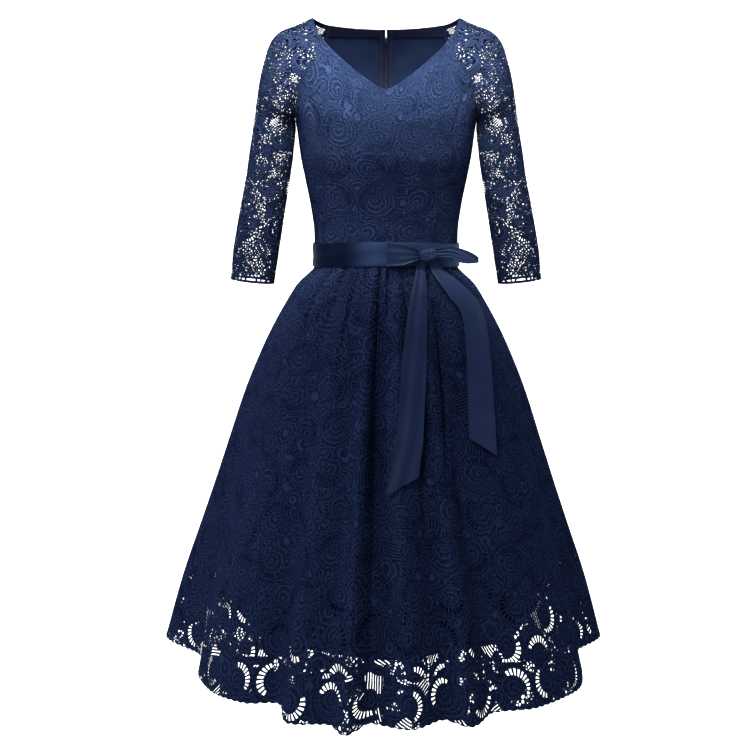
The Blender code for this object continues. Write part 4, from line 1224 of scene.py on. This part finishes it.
def satin_finish(name, light_start, light_full, rough, shine):
    """Ribbon satin: smooth, with fine ribs along it and long soft painted lights. In front it has painted
    shade on the wearer's right of light_start and painted light on the left of light_full."""
    paint = Paint(name)
    place = paint.object_place()
    x, y, z = paint.parts(place)
    ribs = (z * (2 * np.pi / SATIN_RIB)).sin() * 0.5 + 0.5
    soft = paint.noise(place, 24.0, 2.0)
    # Painted light and shade: lighter behind and on the wearer's left in front, darker on the right,
    # mottled
    behind = y.ramp(*SATIN_BEHIND) * SATIN_BEHIND_LIGHT
    lit = x.ramp(light_start, light_full).most(behind) * (soft * 0.5 + 0.75)
    colour = paint.mix(lit.least(1.0), SATIN_PAINTED_SHADE, SATIN_LIT_COLOUR)
    normal = paint.raise_surface(ribs * 0.03 + soft, 0.0010, 0.6)
    return paint.finish(
        Base_Color=colour,
        Roughness=soft * 0.1 + rough,
        Normal=normal,
        Specular_IOR_Level=shine,
    )


def tape_finish():
    """Zip tape in a fine twill."""
    paint = Paint("zip_tape")
    place = paint.object_place()
    x, _, z = paint.parts(place)
    twill = ((x + z) * (2 * np.pi / TWILL_RIB)).sin() * 0.5 + 0.5
    colour = paint.mix(twill, LACE_DEEP, TAPE_COLOUR)
    normal = paint.raise_surface(twill, 0.0002)
    return paint.finish(Base_Color=colour, Roughness=0.7, Normal=normal, Specular_IOR_Level=0.1)


def enamel_finish():
    """Navy enamel over metal, worn through in specks."""
    paint = Paint("zip_enamel")
    place = paint.object_place()
    worn = paint.noise(place, 700.0, 4.0)
    colour = paint.mix(worn.ramp(0.62, 0.75), ENAMEL_COLOUR, WORN_METAL)
    return paint.finish(
        Base_Color=colour,
        Roughness=0.28 + worn * 0.2,
        Metallic=0.2,
        Normal=paint.raise_surface(worn, 0.0001, 0.4),
        Specular_IOR_Level=0.25,
    )


def thread_finish():
    """Sewing thread with its twist."""
    paint = Paint("sewing_thread")
    place = paint.object_place()
    twist = paint.noise(place, 3000.0, 1.0)
    colour = paint.mix(twist, LACE_DEEP, LACE_BAND)
    return paint.finish(Base_Color=colour, Roughness=0.6, Normal=paint.raise_surface(twist, 0.0001))


def backdrop_finish():
    """Pale paper that glows behind the dress."""
    paint = Paint("backdrop")
    place = paint.object_place()
    _, y, _ = paint.parts(place)
    return paint.finish(
        Base_Color=paint.mix(paint.noise(place, 1.5, 2.0) * 0.2, BACKDROP_COLOUR, BACKDROP_SHADE),
        Roughness=0.9,
        Emission_Color=paint.mix(y.ramp(*GLOW_FROM), UNLIT, BACKDROP_COLOUR),
        Emission_Strength=BACKDROP_GLOW,
    )


# --- Pieces that follow a path -----------------------------------------------------------------------


def tree_with(name, sockets):
    """A Geometry Nodes tree with named inputs, and its input sockets by name."""
    tree = bpy.data.node_groups.new(name, "GeometryNodeTree")
    for label, kind in sockets.items():
        tree.interface.new_socket(label, in_out="INPUT", socket_type=kind)
    tree.interface.new_socket("Result", in_out="OUTPUT", socket_type="NodeSocketGeometry")
    web = Web(tree)
    given = web.node("NodeGroupInput").socket.node
    return web, {label: Socket(web, given.outputs[label]) for label in sockets}


def close_tree(web, geometry, material):
    """Ends a tree in plain geometry with its material."""
    whole = web.node("GeometryNodeRealizeInstances", None, {0: geometry})
    done = web.node("GeometryNodeSetMaterial", None, {"Geometry": whole, "Material": material})
    web.tree.links.new(done.socket, web.tree.nodes.new("NodeGroupOutput").inputs[0])
    return web.tree


def cord_tree():
    """A round cord along each path."""
    kinds = {"Path": "NodeSocketGeometry", "Radius": "NodeSocketFloat", "Material": "NodeSocketMaterial"}
    web, given = tree_with("cord", kinds)
    line = web.node("GeometryNodeMeshToCurve", None, {0: given["Path"]})
    sizes = {"Resolution": CORD_SIDES, "Radius": given["Radius"]}
    ring = web.node("GeometryNodeCurvePrimitiveCircle", None, sizes)
    curves = {"Curve": line, "Profile Curve": ring, "Fill Caps": True}
    cord = web.node("GeometryNodeCurveToMesh", None, curves)
    return close_tree(web, cord, given["Material"])


def stitch_tree():
    """Stitches in a row along each path, rounded at their ends."""
    kinds = {
        "Path": "NodeSocketGeometry",
        "Pitch": "NodeSocketFloat",
        "Stitch": "NodeSocketVector",
        "Material": "NodeSocketMaterial",
    }
    web, given = tree_with("stitches", kinds)
    line = web.node("GeometryNodeMeshToCurve", None, {0: given["Path"]})
    every = {"Curve": line, "Length": given["Pitch"]}
    stops = web.node("GeometryNodeCurveToPoints", {"mode": "LENGTH"}, every)
    ball = web.node("GeometryNodeMeshUVSphere", None, {"Segments": CORD_SIDES, "Rings": 5, "Radius": 0.5})
    stitch = web.node("GeometryNodeTransform", None, {"Geometry": ball, "Scale": given["Stitch"]})
    turned = Socket(web, stops.socket.node.outputs["Rotation"])
    stitches = {"Points": stops, "Instance": stitch, "Rotation": turned}
    row = web.node("GeometryNodeInstanceOnPoints", None, stitches)
    return close_tree(web, row, given["Material"])


def follow(name, paths, tree, values):
    """A plain mesh of what a tree makes along some paths, each a list of places."""
    spots = [tuple(spot) for path in paths for spot in path]
    starts = np.cumsum([0] + [len(path) for path in paths])
    edges = [(i, i + 1) for a, b in zip(starts, starts[1:]) for i in range(a, b - 1)]
    mesh = bpy.data.meshes.new(name)
    mesh.from_pydata(spots, edges, [])
    made = place_object(name, mesh)
    modifier = made.modifiers.new("follow", "NODES")
    modifier.node_group = tree
    for item in tree.interface.items_tree:
        if item.in_out == "INPUT" and item.name in values:
            modifier[item.identifier] = values[item.name]
    return plain(made, values["Material"])


def lay_cords(name, paths, radius, nodes=()):
    """Cords along some paths, in the zip tape's finish."""
    values = {"Radius": radius, "Material": FINISH["tape"]}
    declare(follow(name, paths, TREES["cord"], values), nodes)


def sew(name, paths):
    """Rows of stitches along some paths."""
    values = {"Pitch": STITCH_PITCH, "Stitch": STITCH_SIZE, "Material": FINISH["thread"]}
    declare(follow(name, paths, TREES["stitches"], values), [])


# --- The pieces --------------------------------------------------------------------------------------


def bodice_creases(across, rise):
    """How far in the bodice front lies at a place: drapes from the armpits, and ripples at the waist."""
    wave = np.sin(across * WAIST_RIPPLES + WAIST_RIPPLE_START)
    inward = WAIST_RIPPLE * bump(rise, WAIST_RIPPLE_RISE, WAIST_RIPPLE_REACH) * wave
    for drape in DRAPES:
        aside = np.abs(across) - drape.lean * (rise - drape.rise)
        near = bump(aside, drape.aside, drape.wide) * bump(rise, drape.rise, drape.tall)
        inward = inward + drape.depth * near
    return inward


def bodice_front_panel(u, v):
    across = 2 * u - 1
    return bodice_front(across, v) + points(0, bodice_creases(across, v), 0)


def bodice_back_panel(turn):
    """Half of the back on +X, or on -X where turn is -1. The halves part a little at the zip's top."""

    def half(u, v):
        up = np.clip((v - ZIP_TOP_GAP_START) / (1 - ZIP_TOP_GAP_START), 0, 1)
        gap = 2 * BODICE_GAP + ZIP_TOP_GAP / BACK_NECK * up
        return bodice_back(u + gap * (1 - u) ** 4, v) * np.array([turn, 1, 1])

    return half


def make_neck_facing(name, half, length):
    """The tape that faces the neck's edge inside half of the back, which is a length along."""
    start = 1 - NECK_FACING / length

    def facing(u, v):
        across = FACING_START + (1 - BODICE_GAP - FACING_START) * u
        return half(across, start + (1 - start) * v)

    squares = grid(even(0, 1, 36), even(0, 1, 5))
    piece, flat = one_panel(name, facing, squares, 1, inset=FACING_INSIDE)
    declare(piece.make(TAPE, FINISH["tape"]), [], [flat])


def make_bodice_layer(layer, slot, thick, inset):
    along = np.concatenate([even(BODICE_GAP, ARMPIT, 44)[:-1], even(ARMPIT, 1, 34)])
    squares = grid(even(BODICE_GAP, 1 - BODICE_GAP, 84), along)
    name = layer + "_front"
    piece, flat = one_panel(name, bodice_front_panel, squares, -1, bodice_lay, inset)
    declare(piece.make(thick, FINISH[slot]), [name], [flat])
    for way, turn in (("left", 1), ("right", -1)):

        def lay(flat, turn=turn):
            return bodice_lay(flat, turn)

        name = layer + "_back_" + way
        half = bodice_back_panel(turn)
        piece, flat = one_panel(name, half, grid(even(0, 1 - BODICE_GAP, 42), along), 1, lay, inset)
        declare(piece.make(thick, FINISH[slot]), [name], [flat])
        if slot == "lining":
            make_neck_facing("neck_facing_" + way, half, flat.size()[1])


def raglan_seam(edge_place, turn, side):
    """The seam allowance that lies inside along a raglan seam, as a corded edge."""
    rise = even(RAGLAN_START, 1, 60)
    path = edge_place(np.ones(len(rise)), rise)
    facing = normals(edge_place, np.ones(len(rise)), rise, side)
    return (path - facing * RAGLAN_INSIDE) * np.array([turn, 1, 1])


def make_raglan_seams():
    paths = []
    for turn in (-1, 1):
        paths += [raglan_seam(bodice_front, turn, -1), raglan_seam(bodice_back, turn, 1)]
    lay_cords("raglan_seams", paths, RAGLAN_CORD)


def sleeve_slits(flat):
    """Slits of half a sleeve as (across, rise) corners."""
    holes = []
    for row in range(SLEEVE_ROWS_OF_SCROLLS):
        for column in (0, 1):
            for slit in arc_of_slits(column, row):
                inward, upward = np.array(slit).T
                wide = np.interp(upward, flat.lengths, flat.widths)
                room = min(inward.min(), (wide - inward).min(), flat.lengths[-1] - upward.max())
                if room >= SLEEVE_EDGE:
                    rise = np.interp(upward, flat.lengths, flat.rows)
                    holes.append(list(zip(1 - inward / wide, rise)))
    return holes


def sleeve_creases(side, across, rise):
    """How far out half a sleeve stands at a place: soft folds at the elbow and above the cuff."""
    out = 0
    for ripple in SLEEVE_RIPPLES:
        wave = np.sin(rise * ripple.along + across * ripple.across + side * ripple.shift)
        out = out + ripple.height * wave * bump(rise, ripple.rise, ripple.reach)
    return out * np.sin(np.pi * np.clip(across, 0, 1))


def make_sleeves():
    for name, turn in (("left", 1), ("right", -1)):
        piece = Cloth("sleeve_" + name)
        flats = []
        for side in (-1, 1):

            def half(u, v, side=side, turn=turn):
                spot = sleeve(side, u, v) + points(0, side * sleeve_creases(side, u, v), 0)
                return spot * np.array([turn, 1, 1])

            flat = Flat(half)

            def edge(u, v, flat=flat):
                wide, far = flat.place(u, v)
                seam = np.where(v > ARMPIT, wide + EDGE_SLITS[1], NO_EDGE)
                neck = (flat.lengths[-1] - far) * NECK_TAPE_SHARE + EDGE_SLITS[1]
                return np.minimum(np.minimum(far, seam), neck)

            flats.append(flat)
            halves = cut(even(0, 1, 28), even(0, 1, 110), flat.size(), sleeve_slits(flat))
            piece.panel(half, halves, sleeve_lay(flat), side, edge=edge)
        made = piece.make(LACE, FINISH["sleeve_lace"])
        declare(made, ["sleeve_" + name + "_front", "sleeve_" + name + "_back"], flats)


def hem_slits(count):
    """Slits of a skirt panel's hem band, which has a count of scrolls across, as (u, v) corners."""
    holes = []
    for column in range(count):
        for slit in arc_of_slits(column, 0):
            across, up = np.array(slit).T
            across = across / SCROLL_COLUMN / count
            up = HEM_SCROLL_UP + SKIRT_SCROLL_SCALE * (up - SCROLL_FIRST[1])
            if across.max() < 1 and up.min() > SLEEVE_EDGE:
                holes.append(list(zip(across, 1 - up / (WAIST - HEM))))
    return holes


def gathers(side, angle, level):
    """How far in the skirt lies at a place beyond its folds: creases from the belt and soft ones lower."""
    down = (BELT_BOTTOM - level) / (BELT_BOTTOM - HEM)
    depth = PLEAT_DEPTH * np.sin(np.radians(angle) * PLEATS + side) * np.exp(-down * PLEATS_FADE)
    for crease in CREASES:
        if crease.side == side:
            wide = crease.wide * (CREASE_NARROW + CREASE_WIDENS * down)
            near = bump(angle, crease.angle + crease.drift * down, wide)
            depth = depth + crease.depth * near * bump(down, crease.down, crease.reach)
    return depth * np.clip(down * GATHER_STARTS, 0, 1)


def gathered(spot, side, angle, level, u):
    """A place of the skirt or its lining, moved in by its gathers. u is its share across its panel."""
    inward = gathers(side, angle, level) * np.clip(np.sin(np.pi * u) * SEAM_FLATTENS, 0, 1)
    way = np.radians(angle)
    return spot - points(inward * np.sin(way), side * inward * np.cos(way), 0)


def above_hem(u, v):
    """How far a place lies above the hem, counted from past the row of slits that only the cuffs have."""
    return (1 - v) * (WAIST - HEM) + EDGE_SLITS[1]


def make_skirt_lace(way, side, first, turn):
    """A panel of lace: the upper part, and the hem band with its slits cut through."""
    count = HEM_SCROLLS * turn // 180
    columns = SKIRT_COLUMNS * turn // 180

    def panel(u, v):
        level = WAIST + (HEM - WAIST) * v
        gap = np.degrees(SKIRT_GAP) * WAIST_RADIUS / read(SKIRT, "half_width", level)
        angle = first + gap + (turn - 2 * gap) * u
        along = u * count * SCROLL_COLUMN * SKIRT_SCROLL_SCALE
        notch = HEM_SCALLOP_DEPTH * (1 - np.abs(np.sin(np.pi * along / HEM_SCALLOP)))
        lift = notch * np.clip(1 - (1 - v) * (WAIST - HEM) / HEM_SCALLOP_REACH, 0, 1)
        return gathered(skirt(side, angle, level), side, angle, level, u) + points(0, 0, lift)

    flat = Flat(panel)
    band_start = 1 - HEM_BAND / (WAIST - HEM)
    across = even(0, 1, columns)
    upper = np.concatenate([even(0, CLOSE_ROWS_TO, 20)[:-1], even(CLOSE_ROWS_TO, band_start, 76)])
    size = (flat.widths[-1], flat.size()[1])
    band = cut(across, even(band_start, 1, 14), size, hem_slits(count), even(0, 1, columns * 4))
    fan = fan_lay(flat, np.radians(turn / 2))
    name = "skirt_" + way
    piece = Cloth(name)
    piece.panel(panel, grid(across, upper), fan, side, edge=above_hem)
    piece.panel(panel, band, hem_lay(count), side, edge=above_hem)
    declare(piece.make(LACE, FINISH["lace"]), [name], [flat])


def make_skirt_lining(way, side, first, turn):
    """A panel of lining, with the stitches of its hem."""

    def panel(u, v):
        level = WAIST + (LINING_HEM - WAIST) * v
        gap = np.degrees(SKIRT_GAP)
        angle = first + gap + (turn - 2 * gap) * u
        return gathered(underskirt(side, angle, level), side, angle, level, u)

    def lay(flat):
        return fan_lay(flat, np.radians(turn / 2))

    name = "skirt_lining_" + way
    columns = SKIRT_COLUMNS * turn // 180
    squares = grid(even(0, 1, columns // 2), even(0, 1, 60))
    piece, flat = one_panel(name, panel, squares, side, lay)
    declare(piece.make(LINING, FINISH["lining"]), [name], [flat])
    u = even(0.002, 0.998, columns)
    v = np.full(len(u), 1 - LINING_HEM_TURN / flat.size()[1])
    sew("lining_hem_stitches_" + way, [panel(u, v) + normals(panel, u, v, side) * STITCH_OUT])


def make_skirt_seams():
    """The corded edges of the seam allowances, inside at the sides and down the centre back."""
    paths = []
    for side, angle in ((-1, -90.0), (-1, 90.0), (1, 0.0)):
        level = even(BELT_BOTTOM, HEM + SEAM_CORD * 2, 90)
        path = skirt(side, np.full(len(level), angle), level)
        away = unit(path * np.array([1, 1, 0]))
        paths.append(path - away * (LACE + SEAM_CORD * 0.6))
    lay_cords("skirt_seams", paths, SEAM_CORD)


def make_belt():
    def band(u, v):
        level = BELT_TOP + (BELT_BOTTOM - BELT_TOP) * v
        angle = 360 * u + 180
        ripple = BELT_RIPPLE * np.sin(v * BELT_RIPPLES[0] + u * BELT_RIPPLES[1])
        return belt(angle, level, ripple - BELT_EDGE_ROLL * (2 * v - 1) ** 6)

    piece, flat = one_panel("belt", band, grid(even(0, 1, 216), even(0, 1, 14)), 0)
    declare(piece.make(SATIN, FINISH["belt_satin"]), ["belt"], [flat])


def bow_frame():
    """The knot's seat on the belt: its place, and the directions along the belt, out and up."""
    centre = belt(KNOT_ANGLE, KNOT_LEVEL, 0.0)
    along = unit(belt(KNOT_ANGLE + 1, KNOT_LEVEL, 0.0) - belt(KNOT_ANGLE - 1, KNOT_LEVEL, 0.0))
    out = unit(np.cross(along, np.array([0.0, 0.0, 1.0])))
    return centre, along, out


def loop_point(table, row_at, across):
    """A loop's face on the side away from the belt, gathered towards the knot. The loop over the belt
    bends with it."""
    numbered = [NumberedLoopRow(i, *row) for i, row in enumerate(table)]
    along, out, up, half = (read(numbered, column, row_at) for column in LoopRow._fields)
    near_knot = np.exp(-np.abs(np.abs(along) - LOOP_START) / LOOP_FADE)
    wave = np.cos(across * LOOP_WAVES[0] + along * LOOP_WAVES[1])
    out = out + LOOP_GATHER * near_knot * np.cos(across * LOOP_GATHERS + 1.0)
    out = out + LOOP_WAVE * (1 - near_knot) * wave
    out = out + LOOP_RIM * np.abs(2 * across - 1) ** 5
    level = KNOT_LEVEL + up + half * (2 * across - 1)
    centre, direction, away = bow_frame()
    if table is LEFT_LOOP:
        degree = belt(KNOT_ANGLE + 1, KNOT_LEVEL, 0) - belt(KNOT_ANGLE, KNOT_LEVEL, 0)
        angle = KNOT_ANGLE + along / np.linalg.norm(degree)
        return belt(angle, level, np.maximum(out, LOOP_LEAST_OUT))
    spot = centre + along[..., None] * direction + out[..., None] * away
    spot[..., 2] = level
    return spot


def make_knot():
    """The bow's knot: a squarish ball with slanting creases."""
    centre, along, out = bow_frame()
    tilt = np.radians(KNOT_TILT)
    shape = bmesh.new()
    bmesh.ops.create_uvsphere(shape, u_segments=64, v_segments=48, radius=1)
    for vertex in shape.verts:
        spot = np.sign(vertex.co) * np.abs(vertex.co) ** KNOT_SQUARENESS
        local = spot * np.array(KNOT_SIZE)
        crease = np.cos(local[0] * KNOT_CREASES + local[2] * KNOT_CREASES * KNOT_CREASE_SLANT)
        local[1] *= 1 - KNOT_CREASE_DEPTH * (1 + crease)
        local[2] *= 1 - 0.5 * KNOT_CREASE_DEPTH * (1 + crease)
        right = local[0] * np.cos(tilt) - local[2] * np.sin(tilt)
        up = local[0] * np.sin(tilt) + local[2] * np.cos(tilt)
        vertex.co = centre + along * right + out * (KNOT_OUT + local[1]) + np.array([0, 0, up])
    mesh = bpy.data.meshes.new("bow_knot")
    shape.to_mesh(mesh)
    shape.free()
    declare(plain(place_object("bow_knot", mesh), FINISH["satin"]), ["bow_knot"])


def make_loop(name, table):
    def loop(u, v):
        return loop_point(table, v * (len(table) - 1), u)

    squares = grid(even(0, 1, 22), even(0, 1, 72))
    piece, flat = one_panel(name, loop, squares, -1, inset=-SATIN / 2)
    declare(piece.make(SATIN, FINISH["satin"]), [name], [flat])


def make_tail(name, table):
    def ribbon(u, v):
        fold = TAIL_FOLD * bump(u, TAIL_FOLD_AT, TAIL_FOLD_REACH) * np.exp(-v * TAIL_FOLD_FADE)
        wave = TAIL_WAVE * np.sin(u * TAIL_WAVES[0] + v * TAIL_WAVES[1]) ** 2
        gather = TAIL_GATHER * np.cos(u * TAIL_GATHERS) * np.exp(-v * TAIL_GATHER_FADE)
        out = (fold + wave + gather) * np.clip(v * TAIL_STARTS, 0, 1)
        return tail(v * (len(table) - 1), u, table) - points(0, out, 0)

    piece, flat = one_panel(name, ribbon, grid(even(0, 1, 18), even(0, 1, 96)), -1)
    declare(piece.make(SATIN, FINISH["tail_satin"]), [name], [flat])


def zip_depth(level):
    """How far back the inside of the linings lies at the centre back."""
    bodice = read(TORSO, "back", level)
    lower = read(UNDERSKIRT, "back", level) + LINING_INSIDE
    return np.where(level > WAIST, bodice, lower)


def make_zip_tape(way, turn):
    """One side's tape, with the two rows of stitches that hold it to the lining."""

    def tape(u, v):
        x = ZIP_TAPE_FROM + (ZIP_TAPE_TO - ZIP_TAPE_FROM) * u
        level = ZIP_TAPE_TOP + (ZIP_END - ZIP_TAPE_TOP) * v
        return points(turn * x, zip_depth(level) * np.sqrt(1 - (x / ZIP_TAPE_ROUND) ** 2), level)

    name = "zip_tape_" + way
    squares = grid(even(0, 1, 4), even(0, 1, 120))
    piece, flat = one_panel(name, tape, squares, 1, inset=ZIP_TAPE_INSIDE)
    declare(piece.make(TAPE, FINISH["tape"]), [name], [flat])
    v = even(0.01, 0.99, 59)
    seams = []
    for share in TAPE_SEAMS:
        u = np.full(len(v), share)
        seams.append(tape(u, v) - normals(tape, u, v, 1) * (ZIP_TAPE_INSIDE + TAPE + STITCH_OUT))
    sew("zip_stitches_" + way, seams)


def make_zip_coil():
    """The coil's wire, and the two cords that it is wound round."""
    level = even(ZIP_COIL_TOP, ZIP_COIL_END, 60)
    depth = zip_depth(level) - ZIP_COIL_INSIDE - ZIP_COIL_DEPTH / 2
    cores = [points(turn * ZIP_CORE_ASIDE, depth, level) for turn in (-1, 1)]
    lay_cords("zip_coil_cores", cores, ZIP_CORE)
    teeth = (ZIP_COIL_TOP - ZIP_COIL_END) / ZIP_TOOTH_PITCH
    way = np.arange(0, teeth, 1 / ZIP_COIL_SIDES)
    level = ZIP_COIL_TOP - way * ZIP_TOOTH_PITCH
    x = ZIP_COIL_HALF * np.cos(2 * np.pi * way)
    inward = ZIP_COIL_DEPTH * (0.5 + ZIP_COIL_SWING * np.sin(2 * np.pi * way))
    wire = points(x, zip_depth(level) - ZIP_COIL_INSIDE - inward, level)
    lay_cords("zip_coil", [wire], ZIP_COIL_WIRE, ["zip_coil"])


# --- The studio --------------------------------------------------------------------------------------


def make_backdrop():
    """A pale floor that curves up into a pale wall."""
    profile = [(-FLOOR_REACH, 0.0), (WALL_START, 0.0)]
    turns = even(0, np.pi / 2, 12)[1:]
    profile += [(WALL_START + WALL_CURVE * np.sin(a), WALL_CURVE - WALL_CURVE * np.cos(a)) for a in turns]
    profile += [(WALL_START + WALL_CURVE, WALL_TOP)]
    shape = bmesh.new()
    rows = [[shape.verts.new((x, y, FLOOR + z)) for y, z in profile] for x in (-FLOOR_REACH, FLOOR_REACH)]
    for i in range(len(profile) - 1):
        shape.faces.new((rows[0][i], rows[1][i], rows[1][i + 1], rows[0][i + 1]))
    mesh = bpy.data.meshes.new("studio_floor")
    shape.to_mesh(mesh)
    shape.free()
    mesh.shade_smooth()
    mesh.materials.append(backdrop_finish())
    place_object("studio_floor", mesh)


def make_light(name, place, aim, size, spread, power, tint):
    data = bpy.data.lights.new(name, "AREA")
    data.shape = "RECTANGLE"
    data.size, data.size_y = size
    data.spread = np.radians(spread)
    data.energy = power
    data.color = tint
    lamp = bpy.data.objects.new(name, data)
    lamp.location = place
    lamp.rotation_euler = (Vector(aim) - Vector(place)).to_track_quat("-Z", "Y").to_euler()
    bpy.context.scene.collection.objects.link(lamp)


def make_studio():
    make_backdrop()
    for light in LIGHTS:
        make_light(*light)
    world = bpy.data.worlds.new("studio")
    world.use_nodes = True
    background = world.node_tree.nodes["Background"]
    background.inputs["Color"].default_value = (1, 1, 1, 1)
    background.inputs["Strength"].default_value = WORLD_LIGHT
    bpy.context.scene.world = world
    bpy.context.scene.view_settings.view_transform = "Standard"
    data = bpy.data.cameras.new("camera")
    data.sensor_width = CAMERA_SENSOR
    data.lens = CAMERA_LENS
    data.shift_x, data.shift_y = CAMERA_SHIFT
    camera = bpy.data.objects.new("camera", data)
    camera.location = (0, -CAMERA_FRONT, CAMERA_HEIGHT)
    camera.rotation_euler = (np.radians(90 - CAMERA_TILT), 0, 0)
    bpy.context.scene.collection.objects.link(camera)
    bpy.context.scene.camera = camera


FINISH = {
    "lace": lace_finish("scroll_lace", SKIRT_WEAVE),
    "sleeve_lace": lace_finish("sleeve_lace", SLEEVE_WEAVE),
    "lining": lining_finish(),
    "satin": satin_finish("bow_satin", *BOW_SATIN),
    "tail_satin": satin_finish("tail_satin", *TAIL_SATIN),
    "belt_satin": satin_finish("belt_satin", *BELT_SATIN),
    "tape": tape_finish(),
    "enamel": enamel_finish(),
    "thread": thread_finish(),
}
TREES = {"cord": cord_tree(), "stitches": stitch_tree()}

make_bodice_layer("bodice", "lace", LACE, 0.0)
make_bodice_layer("bodice_lining", "lining", LINING, LINING_INSIDE)
make_raglan_seams()
make_sleeves()
for panel in SKIRT_PANELS:
    make_skirt_lace(*panel)
    make_skirt_lining(*panel)
make_skirt_seams()
make_belt()
make_loop("bow_loop_left", LEFT_LOOP)
make_loop("bow_loop_right", RIGHT_LOOP)
make_knot()
make_tail("bow_tail_left", LEFT_TAIL)
make_tail("bow_tail_right", RIGHT_TAIL)
make_zip_tape("left", 1)
make_zip_tape("right", -1)
make_zip_coil()
for node in ("zip_slider", "zip_pull"):
    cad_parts[node].data.materials.clear()
    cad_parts[node].data.materials.append(FINISH["enamel"])
make_studio()
